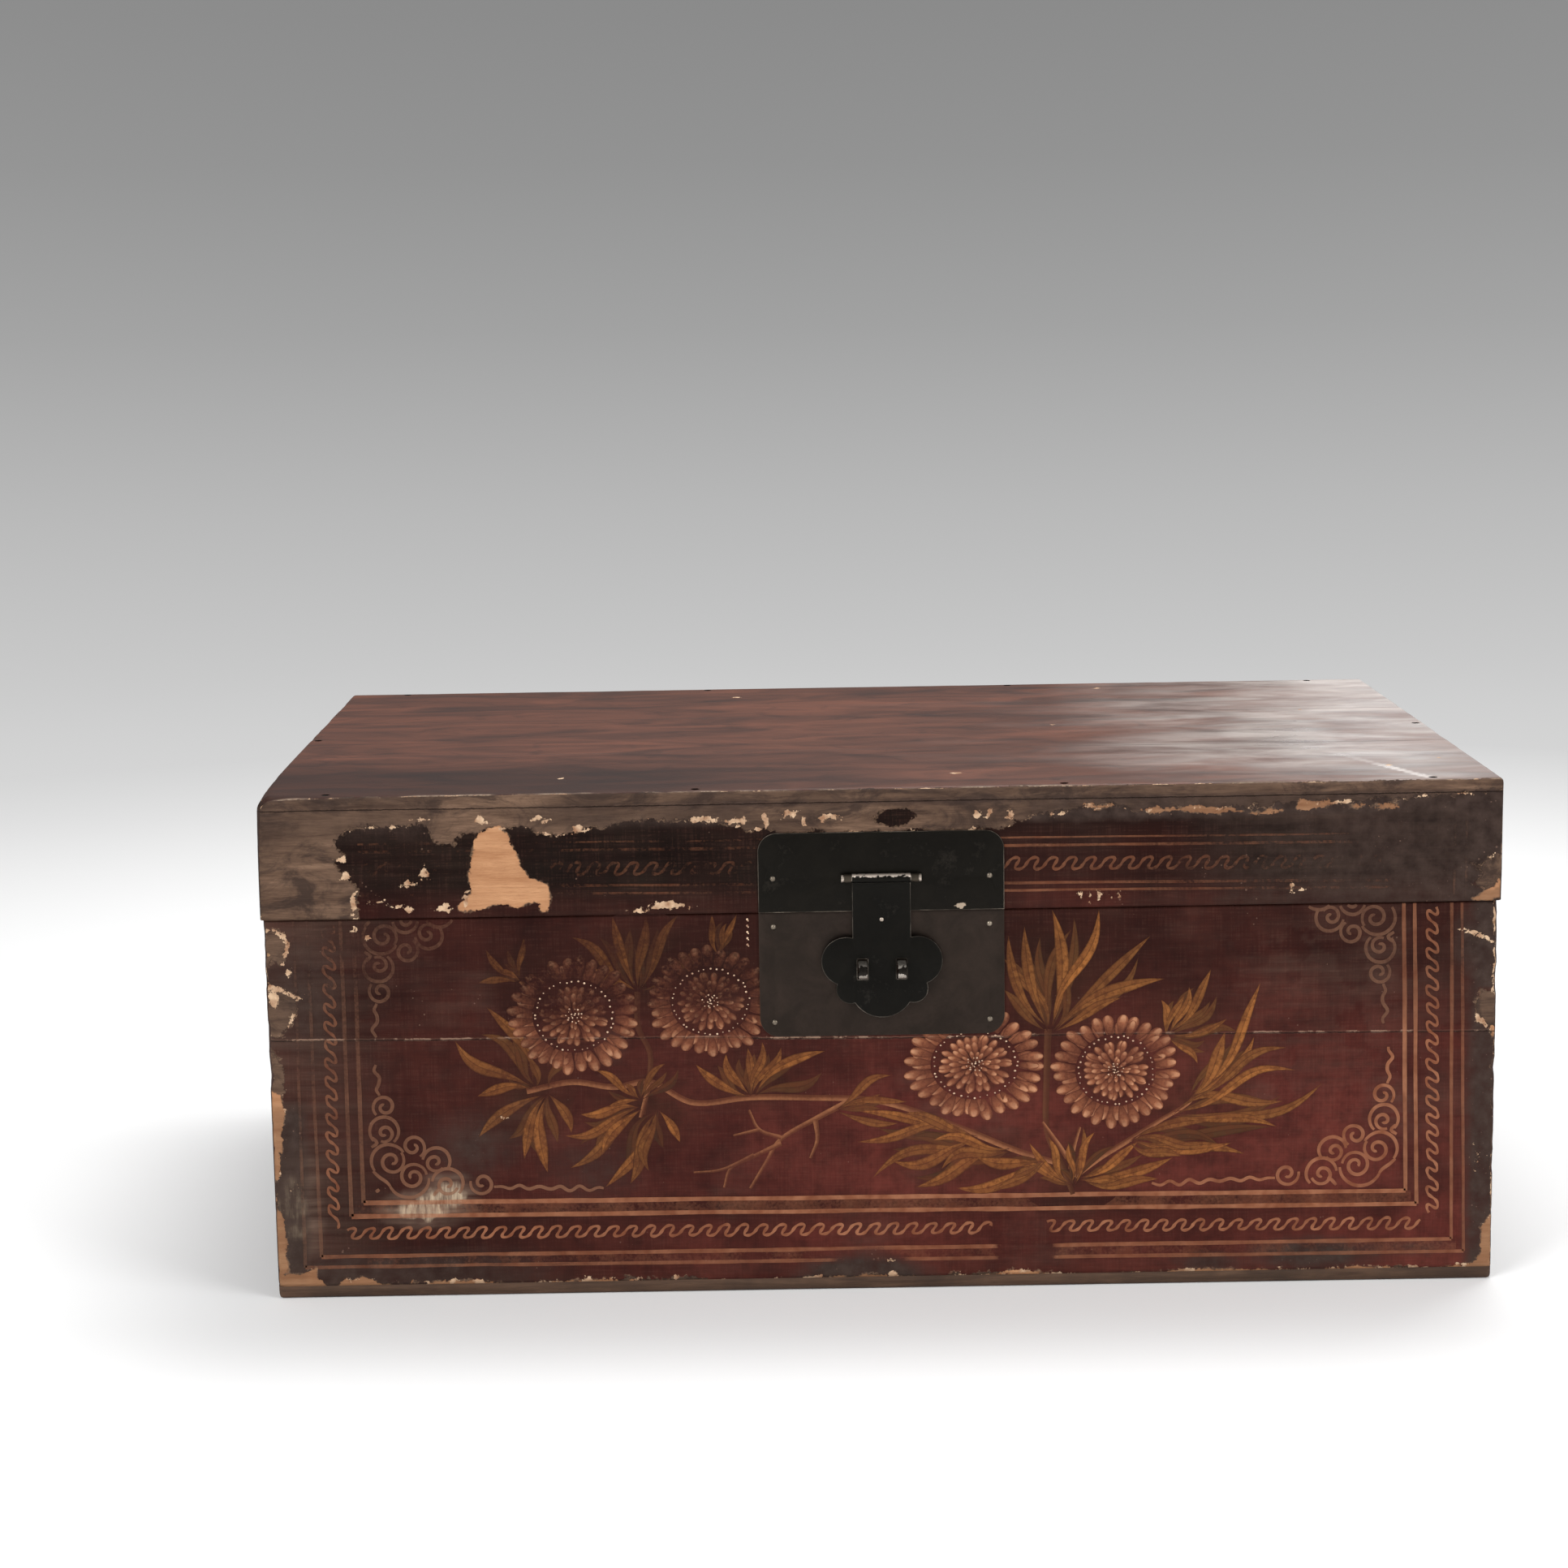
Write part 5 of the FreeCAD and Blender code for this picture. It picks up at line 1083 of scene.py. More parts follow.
def cloud_corner(corner_x, corner_z, toward_x, toward_z, tail_along, tail_up, tone, dotted=False):
    """The scrolls of one corner, as strokes. Toward gives the signs that lead into the field."""
    lines = [
        curl(34.5, 19.0, 9.6, 0.02, 1.55), curl(31.5, 18.5, 14.3, -0.01, -0.42, 1),
        flowing([(18.6, 12.6), (16.4, 15.6), (11, 19.5), (7.2, 23.2)]),
        curl(18.0, 30.5, 12.0, 0.60, -0.52, 1), curl(20.0, 30.5, 9.0, 0.11, -1.35),
        curl(35.5, 40.5, 8.3, -0.16, 1.35),
        curl(51.0, 30.0, 9.4, -0.12, 0.60, 1), curl(50.0, 29.0, 6.6, -0.10, -1.15),
        curl(58.5, 13.8, 10.6, -0.12, 0.60, 1), curl(58.0, 12.8, 7.4, -0.05, -1.2),
        flowing([(54.0, 10.5), (51.0, 8.6), (48.0, 5.0)]),
        curl(82.5, 13.6, 8.4, 0.47, 1.35),
        curl(15.8, 52.0, 10.0, -0.14, 0.76, 1), flowing([(7.6, 47.6), (10.6, 43.8), (6.6, 40.8)]),
        curl(16.0, 50.6, 6.2, -0.32, 1.15),
        curl(16.6, 69.0, 8.0, -0.38, -1.35),
        wavering((90.5, 11.0), (90.5 + tail_along, 8.0), 1.3, tail_along / 14),
        wavering((13.5, 77.0), (12.0, 77.0 + tail_up), 1.7, tail_up / 15)]
    if dotted:
        lines.append(flowing([(8.8, 8.6), (10.0, 9.5), (11.2, 10.4)], 0.6))
    strokes = []
    for number, line in enumerate(lines):
        at = np.stack((corner_x + toward_x * line[:, 0], corner_z + toward_z * line[:, 1]), axis=1)
        at += 0.9 * (np.stack((value_noise(at[:, 1], at[:, 0], 13, 96),
                               value_noise(at[:, 0], at[:, 1], 13, 97)), axis=1) - 0.5)
        for run in below(at, 268.2):
            t = np.linspace(0, 1, len(run))
            press = 1.55 + 0.95 * np.sin(math.pi * share(t * 0.94 + 0.03)) ** 0.6
            strokes.append(stroke(run, press, tone, 1.0, 0.006 * number))
    return strokes


scrolls = (cloud_corner(-361, 67.5, 1, 1, 76, 22, 0.85, True) + cloud_corner(362, 64.5, -1, 1, 86, 26, 0.5)
           + cloud_corner(-361, 287, 1, -1, 12, 24, 0.95) + cloud_corner(358, 289, -1, -1, 12, 28, 0.95))


def scroll_fading(x, z):
    """The scrolls have faded with the frame, and a little less at the left."""
    return share(0.94 * frame_fading(x, z) + 0.06 * share((-x) / 300))


painted("box_cloud_scrolls", "box", scrolls, scroll_fading, gold_paint)

# Flower spray: four chrysanthemums on thin stems with long pointed leaves, painted freehand in browns
# and ochre, with petals tipped lighter and rings of cream dots.
leaf_paint, net, surface, under, read, cover = start_paint("ochre_leaf_paint", 0.36)
place = net.place()
streak = net.noise(place, 260, 3, 0.65)
leaf = net.mix(net.span(read["tone"], 0.0, 0.9), (62, 46, 32), (176, 112, 58))
leaf = net.mix(net.span(streak, 0.44, 0.62, 0, 0.62), leaf, (84, 48, 28))
half = net.span(read["side"], -0.15, 0.15)
leaf = net.mix(half * 0.42, leaf, (104, 62, 36))
edge = abs(read["side"])
leaf = net.layers(
    leaf, (net.span(edge, 0.72, 0.98, 0, 0.66), (50, 30, 22)),
    (net.span(edge, 0.14, 0.03, 0, 0.5), (54, 32, 22)),
    (net.span(read["run"], 0.36, 0.0, 0, 0.6), (70, 47, 33)))
worn_ends = net.span(read["run"], 0.0, 0.1) * net.span(read["run"], 1.0, 0.93, 0.35, 1)
finish_paint(net, surface, under, leaf, cover * worn_ends)


def leaf_stroke(base, tip, width, bend, twist, tone, height):
    """A long pointed leaf from base to tip. Bend bows it, and twist makes it an S, in shares of its length."""
    base, tip = np.array(base, float), np.array(tip, float)
    way = tip - base
    t = np.linspace(0, 1, 17)[:, None]
    bow = bend * 4 * t * (1 - t) + twist * np.sin(2 * math.pi * t)
    line = base + way * t + np.array((-way[1], way[0])) * bow
    t = t[:, 0]
    shape = share(np.sin(math.pi * t ** 1.3)) ** 1.15
    return stroke(line, width * shape + 0.25, tone, 1.0, height)


random = np.random.RandomState(7)
spray = []
clusters = (
    ((-248, 224), 5.4, ((-271, 246), (-245, 254), (-277, 223), (-262, 232))),
    ((-168, 214), 7.0, ((-212, 254), (-184, 268.2), (-161, 268.3), (-139, 268.2), (-200, 236), (-128, 244))),
    ((-112, 238), 5.5, ((-116, 268), (-99, 268), (-106, 262))),
    ((-240, 148), 8.2, ((-294, 182), (-272, 206), (-243, 170), (-280, 143))),
    ((-232, 146), 8.2, ((-280, 114), (-249, 98), (-233, 88), (-216, 116), (-216, 174))),
    ((-166, 134), 7.6, ((-209, 129), (-220, 114), (-217, 91), (-195, 100))),
    ((-156, 133), 7.8, ((-193, 77), (-176, 79), (-163, 88), (-141, 108))),
    ((-168, 138), 6.0, ((-198, 160), (-190, 134), (-178, 150), (-150, 164), (-141, 160))),
    ((-91, 139), 7.4, ((-129, 163), (-108, 170), (-93, 174), (-83, 178), (-70, 174), (-40, 171), (-42, 156),
                       (-56, 166), (-112, 154))),
    ((-34, 129), 5.6, ((5, 153), (10, 119), (-2, 140), (16, 134))),
    ((115, 180), 7.6, ((84, 234), (87, 250), (98, 256), (117, 267.5), (149, 267.5), (184, 248), (194, 218),
                       (164, 205), (84, 212), (132, 262), (104, 232), (176, 233), (128, 230))),
    ((196, 177), 6.2, ((192, 203), (211, 212), (226, 224), (237, 189), (217, 158), (208, 206), (230, 205),
                       (244, 180), (222, 166))),
    ((68, 108), 7.6, ((-17, 128), (-18, 106), (6, 92), (14, 126))),
    ((90, 99), 7.8, ((-8, 80), (22, 73), (40, 86), (34, 106))),
    ((113, 91), 7.6, ((50, 72), (76, 70), (88, 78), (64, 94))),
    ((131, 72), 5.4, ((101, 103), (84, 86), (114, 107), (138, 114), (146, 110), (128, 102), (108, 78),
                      (160, 100), (122, 84))),
    ((134, 76), 6.4, ((177, 82), (200, 91), (176, 103), (166, 72), (190, 76))),
    ((168, 104), 7.2, ((229, 117), (250, 93), (241, 101), (206, 92), (222, 100), (268, 112))),
    ((196, 121), 7.6, ((303, 142), (276, 130), (272, 112), (284, 152))),
    ((210, 131), 7.6, ((260, 214), (256, 176), (236, 180), (278, 168))),
)
for cluster, ((bx, bz), width, tips) in enumerate(clusters):
    fill = [(bx + 0.42 * (ax + cx - 2 * bx), bz + 0.42 * (az + cz - 2 * bz))
            for (ax, az), (cx, cz) in zip(tips, tips[1:])]
    tips = list(tips) + [tip for tip in fill if math.hypot(tip[0] - bx, tip[1] - bz) > 14][:4]
    for number, (tx, tz) in enumerate(tips):
        length = math.hypot(tx - bx, tz - bz)
        start = (bx + 0.06 * (tx - bx) + random.uniform(-1, 1), bz + 0.06 * (tz - bz) + random.uniform(-1, 1))
        behind = number >= 0.45 * len(tips)
        tone = random.uniform(0.0, 0.25) if behind else random.uniform(0.35, 0.85)
        broad = 0.98 * width * min(1.1, 0.55 + length / 90) * random.uniform(0.8, 1.1)
        lift = (0.004 if behind else 0.07) + 0.003 * number + 0.001 * (cluster % 3)
        spray.append(leaf_stroke(start, (tx, tz), broad, random.uniform(-0.13, 0.13),
                                 random.uniform(-0.06, 0.06),
                                 tone, lift))


def spray_fading(x, z):
    """The spray is best kept at the right and palest at its left and top."""
    left_over = 0.74 + 0.22 * share((x + 100) / 220) - 0.14 * share((z - 215) / 40)
    left_over -= 0.26 * share((-100 - x) / 90) * share((z - 180) / 40)
    return np.clip(left_over + 0.3 * (value_noise(x, z, 50, 111) - 0.5), 0.2, 1)


painted("box_leaves", "box", spray, spray_fading, leaf_paint)

wash_paint, net, surface, under, read, cover = start_paint("umber_wash", 0.3)
place = net.place()
wash = net.mix(net.span(net.noise(place, 70, 4, 0.6), 0.35, 0.65), (38, 27, 19), (62, 38, 27))
finish_paint(net, surface, under, wash, cover * net.span(read["run"], 1.0, 0.25))


def wash_stroke(cx, cz, wide, tall, strength, height):
    """An oval wash of thin colour, with its run from the middle out."""
    reach, angle = np.meshgrid(np.linspace(0.02, 1, 8), np.linspace(0, 2 * math.pi, 33))
    at = np.stack((cx + wide * reach * np.cos(angle), cz + tall * reach * np.sin(angle)), axis=-1)
    return {"at": at, "run": reach, "side": reach * 0, "tone": 0.5, "strength": strength, "height": height}


washes = []
for wash in (
        (-242, 142, 42, 36, 0.6), (-165, 130, 50, 36, 0.6), (-165, 232, 44, 40, 0.55), (-90, 150, 44, 26, 0.55),
        (117, 214, 46, 50, 0.6), (205, 186, 40, 34, 0.5), (215, 128, 62, 34, 0.55), (70, 92, 80, 26, 0.6),
        (130, 84, 40, 32, 0.65), (-212, 214, 46, 30, 0.45), (-118, 222, 44, 28, 0.45),
        (-250, 230, 30, 26, 0.35)):
    washes.append(wash_stroke(*wash, 0.004 * len(washes) - 0.06))
painted("box_umber_washes", "box", washes, lambda x, z: x * 0 + 1, wash_paint)

stem_paint, net, surface, under, read, cover = start_paint("brown_stem_paint", 0.45)
stem = net.mix(net.span(read["side"], -0.5, 0.5), (160, 106, 72), (104, 62, 42))
stem = net.mix(net.span(read["tone"], 0.5, 1.0), stem, (66, 40, 28))
finish_paint(net, surface, under, stem, cover)
stems = []
for line, thick, thin in (
        (((-248, 224), (-232, 203), (-218, 190)), 1.6, 1.0),
        (((-168, 215), (-168, 190), (-160, 168), (-166, 128)), 2.3, 1.7),
        (((-246, 146), (-215, 152), (-186, 148), (-160, 151), (-131, 136), (-91, 139), (-47, 138), (-10, 136),
          (20, 128), (60, 112)), 2.2, 2.2),
        (((-160, 151), (-164, 140), (-168, 126)), 1.8, 1.2),
        (((-20, 137), (-47, 123), (-71, 109), (-82, 92), (-93, 74)), 2.4, 1.0),
        (((-47, 122), (-46, 108), (-51, 95)), 2.0, 0.9),
        (((-71, 106), (-90, 97), (-106, 89), (-111, 75)), 1.9, 0.9),
        (((-90, 98), (-112, 88), (-132, 86)), 1.5, 0.8),
        (((-71, 110), (-86, 116), (-93, 130)), 1.7, 0.9),
        (((-86, 116), (-104, 112)), 1.4, 0.8),
        (((114, 184), (113, 150), (113, 112), (123, 88), (131, 66)), 2.7, 1.8),
        (((60, 112), (92, 98), (122, 88)), 2.4, 2.0),
        (((132, 79), (150, 92), (168, 103), (190, 117), (212, 131), (224, 150)), 2.4, 1.2),
        (((127, 92), (121, 102), (110, 118)), 1.8, 1.0),
        (((129, 84), (132, 100), (136, 114)), 1.6, 0.9),
        (((160, 150), (178, 168), (197, 178)), 1.8, 1.2)):
    smooth = flowing(line)
    tone = 0.9 if thick in (2.3, 2.7) else 0.5
    stems.append(stroke(smooth, 1.85 * np.linspace(thick, thin, len(smooth)), tone, 1.0, 0.0002 * len(stems)))
painted("box_stems", "box", stems, spray_fading, stem_paint)

petal_paint, net, surface, under, read, cover = start_paint("petal_paint", 0.4)
place = net.place()
petal = net.mix(net.span(read["run"], 0.12, 0.75), (70, 37, 29), (168, 105, 74))
petal = net.layers(
    petal, (net.span(read["tone"], 0, 1, 0.0, 0.5), (112, 66, 47)),
    (net.span(net.noise(place, 420, 3, 0.6), 0.48, 0.62, 0, 0.4), (84, 44, 34)))
petal_side = abs(read["side"])
petal = net.mix(net.span(petal_side, 0.5, 1.0, 0, 0.65), petal, (72, 38, 31))
tip = net.span(read["run"], 0.66, 0.88) * net.span(petal_side, 0.66, 0.36)
tip = tip * net.span(read["run"], 1.0, 0.955)
petal = net.mix(tip * net.span(read["tone"], 0, 1, 1.0, 0.3), petal, (212, 156, 118))
finish_paint(net, surface, under, petal, cover)

heart_paint, net, surface, under, read, cover = start_paint("dark_heart_paint", 0.3)
place = net.place()
heart = net.mix(net.span(net.noise(place, 300, 3, 0.6), 0.35, 0.65), (44, 24, 20), (80, 44, 33))
finish_paint(net, surface, under, heart, cover * net.span(read["run"], 1.0, 0.72))

# A ring of petals on each flower: Petals round a rim of Inner, out to Outer, all in metres.
petal_ring, given, result = new_group(
    "petal_ring", "GeometryNodeTree",
    {"Geometry": "Geometry", "Petals": 24, "Inner": 0.02, "Outer": 0.04, "Petal Width": 0.006, "Roundness": 0.6,
     "Sway": 0.09, "Seed": 1, "Lift": 0.2632, "Material": "Material"}, {"Geometry": "Geometry"})
net = petal_ring
sheet = net.put("GeometryNodeMeshGrid", {"Size X": 1.0, "Size Y": 2.0, "Vertices X": 9, "Vertices Y": 5})
parts = net.wires("ShaderNodeSeparateXYZ", {0: net.put("GeometryNodeInputPosition")})
along, across = net.math("SINE", (parts["X"] + 0.5) * (math.pi / 2)), parts["Y"]
bulge = net.math("MAXIMUM", net.math("SINE", along ** 2.2 * math.pi), 0.0) ** given["Roundness"]
moved = net.xyz(X=along, Y=across * 0.5 * bulge)
sheet = store(net, store(net, sheet, "run", along), "side", across)
sheet = net.put("GeometryNodeSetPosition", {"Geometry": sheet, "Position": moved})
ring = net.put("GeometryNodeMeshCircle", {"Vertices": given["Petals"], "Radius": given["Inner"]})
number = net.put("GeometryNodeInputIndex")
every_other = number % 2.0 * 0.000018
outward = net.put("FunctionNodeAlignRotationToVector", {"Vector": net.put("GeometryNodeInputPosition")},
                  axis="X")
sway = net.xyz(Z=net.random(given["Sway"] * -1.0, given["Sway"], given["Seed"]))
sway = net.put("FunctionNodeEulerToRotation", {0: sway})
outward = net.put("FunctionNodeRotateRotation", {"Rotation": outward, "Rotate By": sway},
                  rotation_space="LOCAL")
long = (given["Outer"] - given["Inner"]) * net.random(0.86, 1.08, given["Seed"] + 5.0)
scale = net.xyz(X=long, Y=given["Petal Width"], Z=1.0)
ring = net.put("GeometryNodeSetPosition", {"Geometry": ring, "Offset": net.xyz(Z=every_other)})
ring = net.put("GeometryNodeInstanceOnPoints",
               {"Points": ring, "Instance": sheet, "Rotation": outward, "Scale": scale})
ring = store(net, ring, "tone", net.random(0.0, 1.0, given["Seed"] + 9.0), "INSTANCE")
ring = net.put("GeometryNodeRealizeInstances", {"Geometry": ring})


def spread_over_flowers(net, given, piece):
    """Sets a ring on every flower centre, as wide and as tall as that flower's own values say."""
    def value(name, kind="FLOAT"):
        return net.put("GeometryNodeInputNamedAttribute", {"Name": name}, "Attribute", data_type=kind)

    turned = net.put("FunctionNodeEulerToRotation", {0: net.xyz(Z=value("turn"))})
    here = net.put("GeometryNodeInputPosition")
    points = net.put("GeometryNodeStoreNamedAttribute",
                     {"Geometry": given["Geometry"], "Name": "centre", "Value": here},
                     data_type="FLOAT_VECTOR", domain="POINT")
    heads = net.put("GeometryNodeInstanceOnPoints", {"Points": points, "Instance": piece, "Rotation": turned})
    heads = net.put("GeometryNodeRealizeInstances", {"Geometry": heads})
    centre = value("centre", "FLOAT_VECTOR")
    way = net.vector("SUBTRACT", here, centre)
    way = net.vector("MULTIPLY", way, net.xyz(X=value("wide"), Y=value("tall"), Z=1.0))
    moved = net.vector("ADD", centre, net.vector("ADD", way, net.xyz(Z=given["Lift"])))
    return net.put("GeometryNodeSetPosition", {"Geometry": heads, "Position": moved})


stand_up(petal_ring, given, result, spread_over_flowers(petal_ring, given, ring))

flower_centres = [(-212.0, 199.0, 0), (-118.0, 207.5, 0), (63.5, 160.0, 0), (160.5, 154.0, 0)]
flower_shapes = {"wide": [1.06, 1.03, 1.14, 1.03], "tall": [0.97, 0.92, 0.93, 0.95],
                 "turn": [0.1, 0.9, 0.4, 1.7]}


def flower_fading(x, z):
    """The two left flowers have lost most of their upper petals."""
    kept = np.where(x < -60, np.clip((204 + 0.06 * (x + 212) - z) / 34, 0, 0.44) + 0.35, 1.0)
    return np.clip(kept * (0.62 + 0.6 * value_noise(x, z, 15, 112)), 0.1, 1)


for name, petals, inner, outer, width, roundness, seed, lift, sway in (
        ("back", 27, 19.0, 37.5, 6.4, 0.5, 10, 0.12, 0.13),
        ("outer", 28, 23.0, 42.5, 7.6, 0.45, 11, 0.15, 0.10),
        ("second", 25, 9.5, 22.5, 4.6, 0.5, 13, 0.22, 0.20),
        ("third", 18, 5.0, 17.0, 4.6, 0.5, 14, 0.26, 0.25),
        ("inner", 12, 0.8, 10.0, 3.1, 0.6, 15, 0.30, 0.3)):
    grow(f"box_petals_{name}", "box", flower_fading, petal_ring, flower_centres, [], {
        "Petals": petals, "Inner": inner / 1000, "Outer": outer / 1000, "Petal Width": width / 1000,
        "Roundness": roundness, "Sway": sway, "Seed": seed, "Lift": (263.16 + lift) / 1000,
        "Material": petal_paint}, flower_shapes)
hearts = []
for (cx, cz, _), wide, tall in zip(flower_centres, flower_shapes["wide"], flower_shapes["tall"]):
    hearts.append(wash_stroke(cx, cz, 27 * wide, 27 * tall, 0.8, 0.19 + 0.001 * len(hearts)))
painted("box_flower_hearts", "box", hearts, flower_fading, heart_paint)

cream_dots, net, surface = new_material("cream_dot_paint")
place = net.place()
worn = net.noise(place, 300, 3, 0.6)
net.fill(surface, {"Base Color": net.mix(net.span(worn, 0.4, 0.66), (226, 192, 160), (150, 104, 80)),
                   "Roughness": net.span(worn, 0.3, 0.7, 0.45, 0.65)})

dot_ring, given, result = new_group(
    "dot_ring", "GeometryNodeTree",
    {"Geometry": "Geometry", "Dots": 36, "Ring": 0.026, "Dot": 0.0008, "Seed": 3, "Lift": 0.2632,
     "Material": "Material"}, {"Geometry": "Geometry"})
net = dot_ring
bead = net.put("GeometryNodeMeshUVSphere", {"Segments": 8, "Rings": 5, "Radius": given["Dot"]})
bead = net.put("GeometryNodeTransform", {"Geometry": bead, "Scale": (1, 1, 0.45)})
circle = net.put("GeometryNodeMeshCircle", {"Vertices": given["Dots"], "Radius": given["Ring"]})
jitter = net.put("FunctionNodeRandomValue",
                 {0: (-0.0009, -0.0009, 0), 1: (0.0009, 0.0009, 0), "Seed": given["Seed"]},
                 data_type="FLOAT_VECTOR")
circle = net.put("GeometryNodeSetPosition", {"Geometry": circle, "Offset": jitter})
swell = net.random(0.55, 1.15, given["Seed"])
swell = net.xyz(X=swell, Y=swell, Z=swell)
circle = net.put("GeometryNodeInstanceOnPoints", {"Points": circle, "Instance": bead, "Scale": swell})
circle = net.put("GeometryNodeRealizeInstances", {"Geometry": circle})
stand_up(net, given, result, spread_over_flowers(net, given, circle))
for name, dots, radius, dot, seed in (
        ("rim", 38, 25.0, 0.66, 3), ("eye", 13, 4.6, 0.6, 4), ("core", 7, 2.2, 0.56, 6),
        ("pip", 3, 0.8, 0.5, 5)):
    grow(f"box_flower_dots_{name}", "box", spray_fading, dot_ring, flower_centres, [], {
        "Dots": dots, "Ring": radius / 1000, "Dot": dot / 1000, "Seed": seed, "Lift": 0.26352,
        "Material": cream_dots}, flower_shapes)
grow("box_dot_string", "box", spray_fading, dot_ring, [(-91.4, 264.0 - 4.4 * step, 0) for step in range(5)], [],
     {"Dots": 3, "Ring": 0.0003, "Dot": 0.0007, "Seed": 8, "Lift": 0.26330, "Material": cream_dots},
     {"wide": [1.0] * 5, "tall": [1.0] * 5, "turn": [0.0] * 5})

# Lid border: the same gold lines and running waves, on the lid's black front. They make the top of the
# frame when the lid is shut.
lid_lines = [ruled((-356, 316.0), (326, 312.0), 1.9), ruled((-356, 291.8), (352, 284.8), 2.0),
             ruled((-356, 286.0), (352, 280.0), 1.8),
             ruled((-356, 321.5), (326, 317.5), 1.3), ruled((392, 330), (392, 272), 1.6, 1, 0.9),
             ruled((400, 330), (400, 272), 1.5, 1, 0.9)]


def lid_fading(x, z):
    """The lid's gold is nearly gone at both ends."""
    kept = 0.18 + 0.32 * share((x + 200) / 250) - 0.28 * share((x - 210) / 110)
    return np.clip(kept + 0.5 * (value_noise(x, z, 60, 121) - 0.5), 0.11, 0.85)


painted("lid_frame_lines", "lid", lid_lines, lid_fading, gold_paint)
line = wave_path(((-354, 304.0), (-84, 300.5), (87, 300.8), (340, 298.0)))
grow("lid_running_waves", "lid", lid_fading, running_wave, line,
     [(step, step + 1) for step in range(len(line) - 1)],
     {"Lift": 0.26516, "Height": 0.0084, "Material": gold_paint}, {})

# Lock plates and hasp: hammered sheet brass gone nearly black, nailed on with small domed brass nails.
# The hasp turns on a drawn brass pin in two folded eyes.


def softened(node, body, material, edge=0.45):
    """A copy of a sheet-metal part with its cut edges broken, so that they catch the light."""
    mesh, work = opened(node, "_filed", 1)
    sharp = [item for item in work.edges
             if len(item.link_faces) == 2 and item.calc_face_angle(0) > math.radians(35)]
    bmesh.ops.bevel(work, geom=sharp, offset=edge / 1000, segments=2, profile=0.5, affect="EDGES",
                    clamp_overlap=True)
    bmesh.ops.triangulate(work, faces=work.faces)
    for face in work.faces:
        face.smooth = True
    for item in work.edges:
        item.smooth = item.calc_face_angle(0) < math.radians(30)
    work.to_mesh(mesh)
    work.free()
    new_piece(node + "_filed", mesh, body, material, node)


# Aged metal is shared by all the fittings: a dark skin in clouds, rubbed brighter on the edges.
aged_metal, given, result = new_group(
    "aged_metal", "ShaderNodeTree", {"Skin": "Color", "Cloud": "Color", "Rubbed": "Color", "Edge": "Float",
                                     "Wear": "Float", "Dull": "Float"}, shader_outputs)
net = aged_metal
place = net.place()
clouds = net.noise(place, 38, 5, 0.62, 0.5)
grit = net.noise(place, 520, 3, 0.6)
smooth_edge = net.put("ShaderNodeBevel", {"Radius": given["Edge"]}, samples=6)
facing = net.vector("DOT_PRODUCT", smooth_edge, net.put("ShaderNodeNewGeometry", output="Normal"),
                    output="Value")
on_edge = net.span(facing, 0.985, 0.86) * net.span(clouds, 0.42, 0.6, 0.15, 1.0)
skin = net.mix(net.span(clouds, 0.35, 0.68), given["Skin"], given["Cloud"])
scuff = net.span(clouds + grit * 0.4, 0.8, 1.0, 0, 0.07)
bright = held((on_edge + scuff) * given["Wear"])
rough = given["Dull"] + net.span(grit, 0.3, 0.7, -0.07, 0.09)
net.fill(result, {"Color": net.mix(bright, skin, given["Rubbed"]), "Roughness": rough - bright * 0.15,
                  "Height": clouds + grit * 0.25})


def metal(name, skin, cloud, rubbed, wear=0.6, dull=0.42, metallic=0.85, edge=0.0006, chip_or_painted_light_spot=None):
    """Aged metal, with a spot given as a place in metres, its reach along each axis, and its colour. The spots
    here are a real pale chip, a painted highlight and painted shade.
    """
    material, net, surface = new_material(name)
    look = net.group(aged_metal, {"Skin": skin, "Cloud": cloud, "Rubbed": rubbed, "Edge": edge, "Wear": wear,
                                  "Dull": dull})
    colour = look["Color"]
    if chip_or_painted_light_spot:
        middle, reach, spot_colour = chip_or_painted_light_spot
        place = net.place()
        way = net.vector("DIVIDE", net.vector("SUBTRACT", place, middle), reach)
        way = net.vector("LENGTH", way, output="Value") + net.noise(place, 330, 3, 0.6) * 2.6
        colour = net.mix(net.span(way, 2.2, 2.0), colour, spot_colour)
    net.dress(surface, colour, look["Roughness"], look["Height"], 0.25, depth=0.0005)
    net.fill(surface, {"Metallic": metallic})
    return material


dark_brass = metal("dark_plate_brass", (25, 22, 17), (18, 16, 12), (166, 152, 136), 0.8, 0.42, edge=0.0011,
                   chip_or_painted_light_spot=((0.054, -0.2662, 0.2725), (0.0036, 0.003, 0.0024), (178, 160, 140)))
brown_brass = metal("brown_plate_brass", (54, 44, 38), (40, 33, 28), (108, 92, 78), 0.6, 0.48)
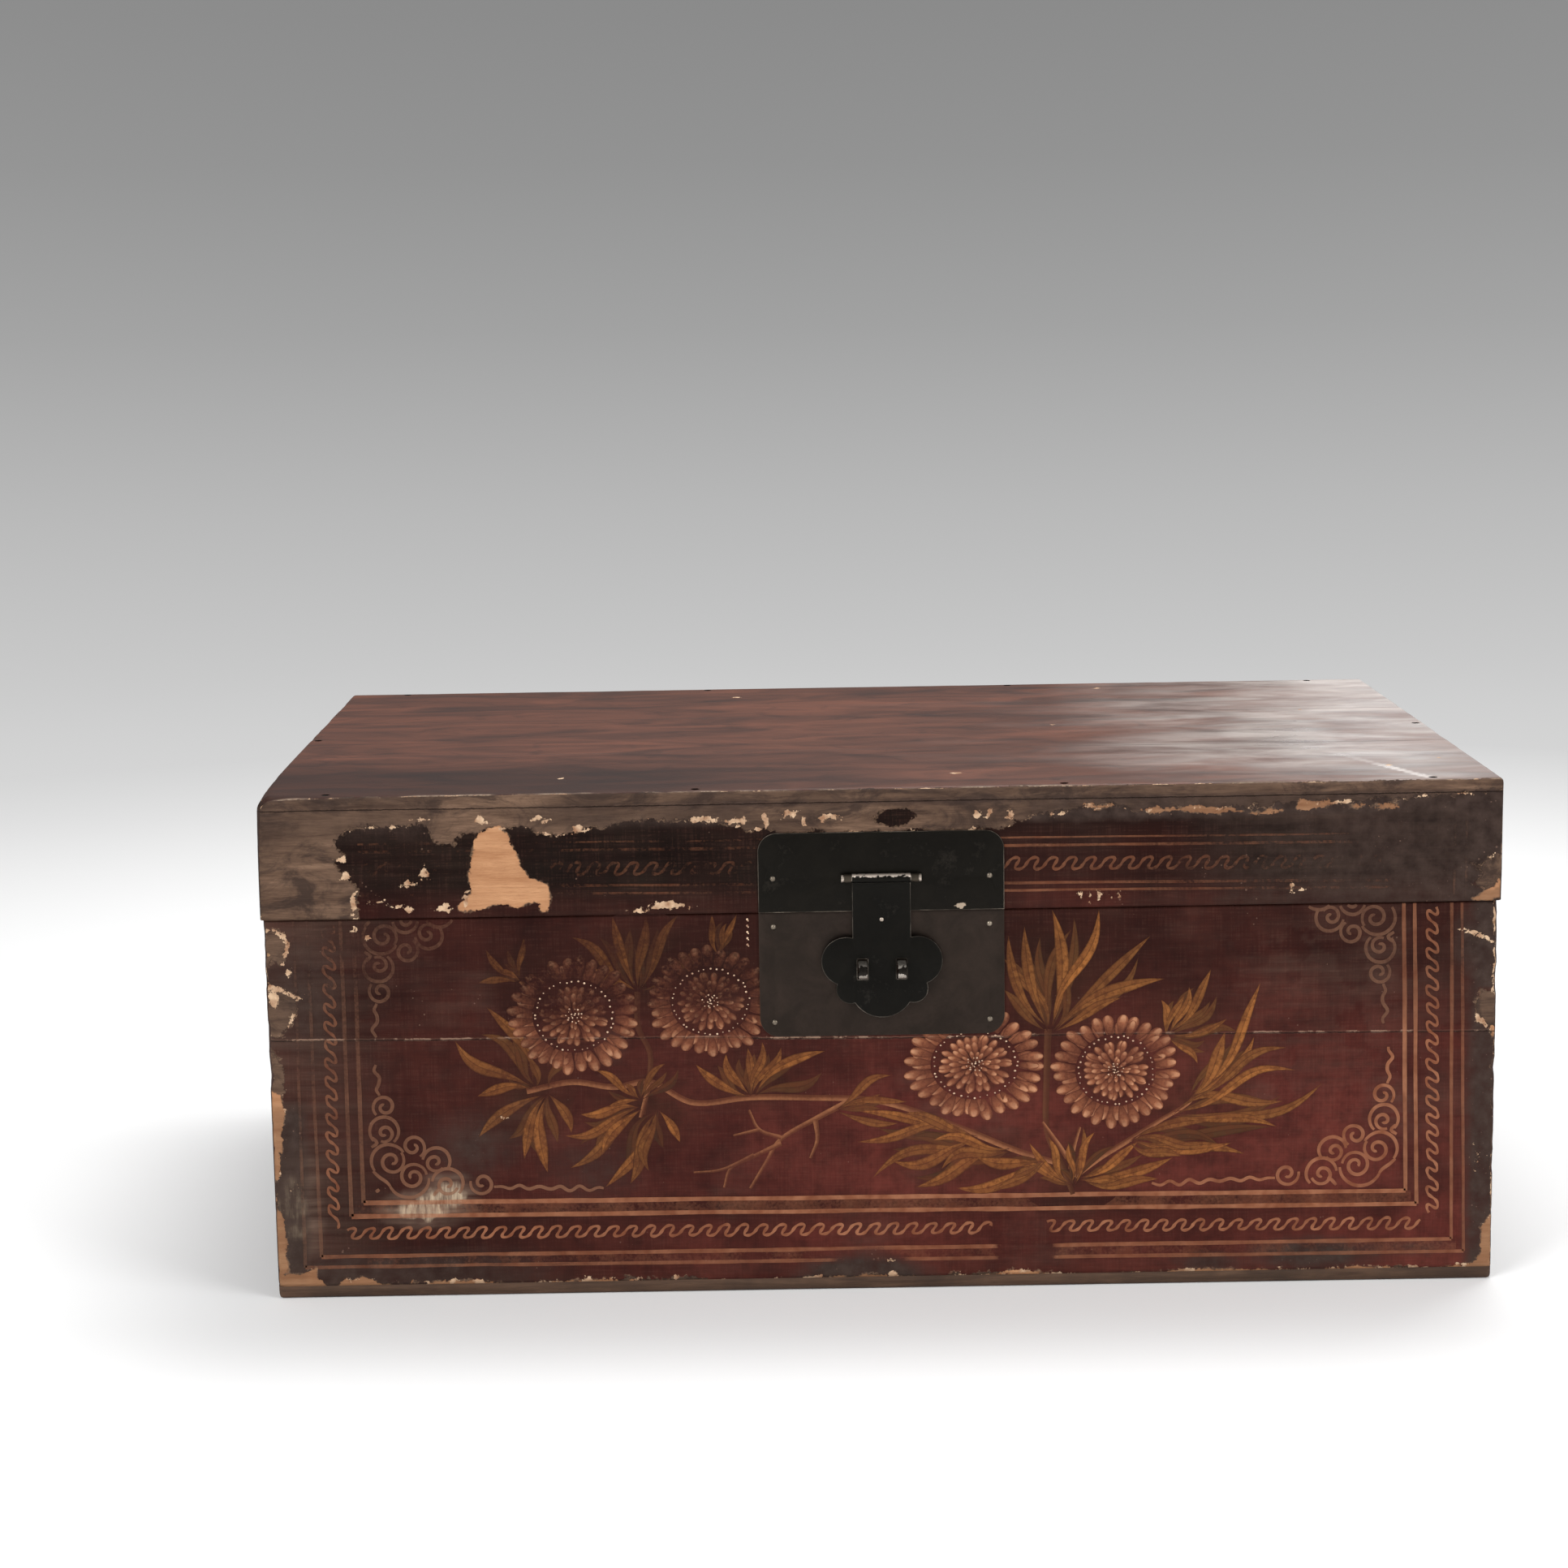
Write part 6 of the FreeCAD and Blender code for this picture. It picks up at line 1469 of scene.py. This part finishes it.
# The hasp's spot is a painted highlight along the top of its knuckle.
hasp_brass = metal("hasp_brass", (20, 18, 14), (14, 13, 10), (172, 160, 146), 0.85, 0.38, edge=0.0011,
                   chip_or_painted_light_spot=((0.0, -0.2715, 0.2968), (0.5, 0.0042, 0.003), (214, 200, 186)))
softened("lock_plate_upper", "lid", dark_brass)
softened("lock_plate_lower", "box", brown_brass)
softened("hasp", "hasp", hasp_brass)
bright_brass = metal("worn_bright_brass", (206, 192, 178), (150, 136, 122), (232, 222, 210), 0.7, 0.3)
nail_brass = metal("nail_brass", (160, 148, 132), (96, 86, 74), (206, 194, 178), 0.8, 0.34)
eye_brass = metal("eye_brass", (74, 66, 56), (44, 40, 33), (150, 138, 122), 0.8, 0.38)
# The staples' spot is painted shade across the openings of their loops.
staple_brass = metal("staple_brass", (186, 178, 168), (136, 128, 118), (226, 220, 212), 0.9, 0.3,
                     chip_or_painted_light_spot=((0.0, -0.278, 0.2305), (0.5, 0.1, 0.0034), (34, 30, 26)))
for node, material in (("hasp_pin", bright_brass), ("hasp_rivet", bright_brass), ("hasp_eye_left", eye_brass),
                       ("hasp_eye_right", eye_brass), ("lock_plate_upper_nails", nail_brass),
                       ("lock_plate_lower_nails", nail_brass), ("lock_staple_left", staple_brass),
                       ("lock_staple_right", staple_brass)):
    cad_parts[node].data.materials[0] = material

# Hinges and handles: forged leaves on the back, and bails with round backplates on the ends, all of brass
# that has browned where hands don't rub it.
hinge_metal = metal("hinge_metal", (70, 60, 48), (46, 39, 32), (150, 128, 96), 0.6, 0.45)
handle_brass = metal("handle_brass", (112, 90, 58), (70, 55, 38), (190, 160, 108), 0.8, 0.36)
iron = metal("nail_iron", (58, 50, 45), (38, 32, 29), (104, 94, 86), 0.5, 0.6, 0.6)
for end in ("left", "right"):
    for leaf, body in (("lid_leaf", "lid"), ("box_leaf", "box")):
        softened(f"hinge_{end}_{leaf}", body, hinge_metal, 0.25)
    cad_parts[f"hinge_{end}_pin"].data.materials[0] = hinge_metal
    for part in ("handle_bail", "handle_eye_front", "handle_eye_back", "handle_rose_front", "handle_rose_back"):
        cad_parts[f"{end}_{part}"].data.materials[0] = handle_brass
for node in ("hinge_box_nails", "hinge_lid_nails"):
    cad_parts[node].data.materials[0] = nail_brass
for node in ("bottom_nails", "lid_top_nails", "lip_nails"):
    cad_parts[node].data.materials[0] = iron
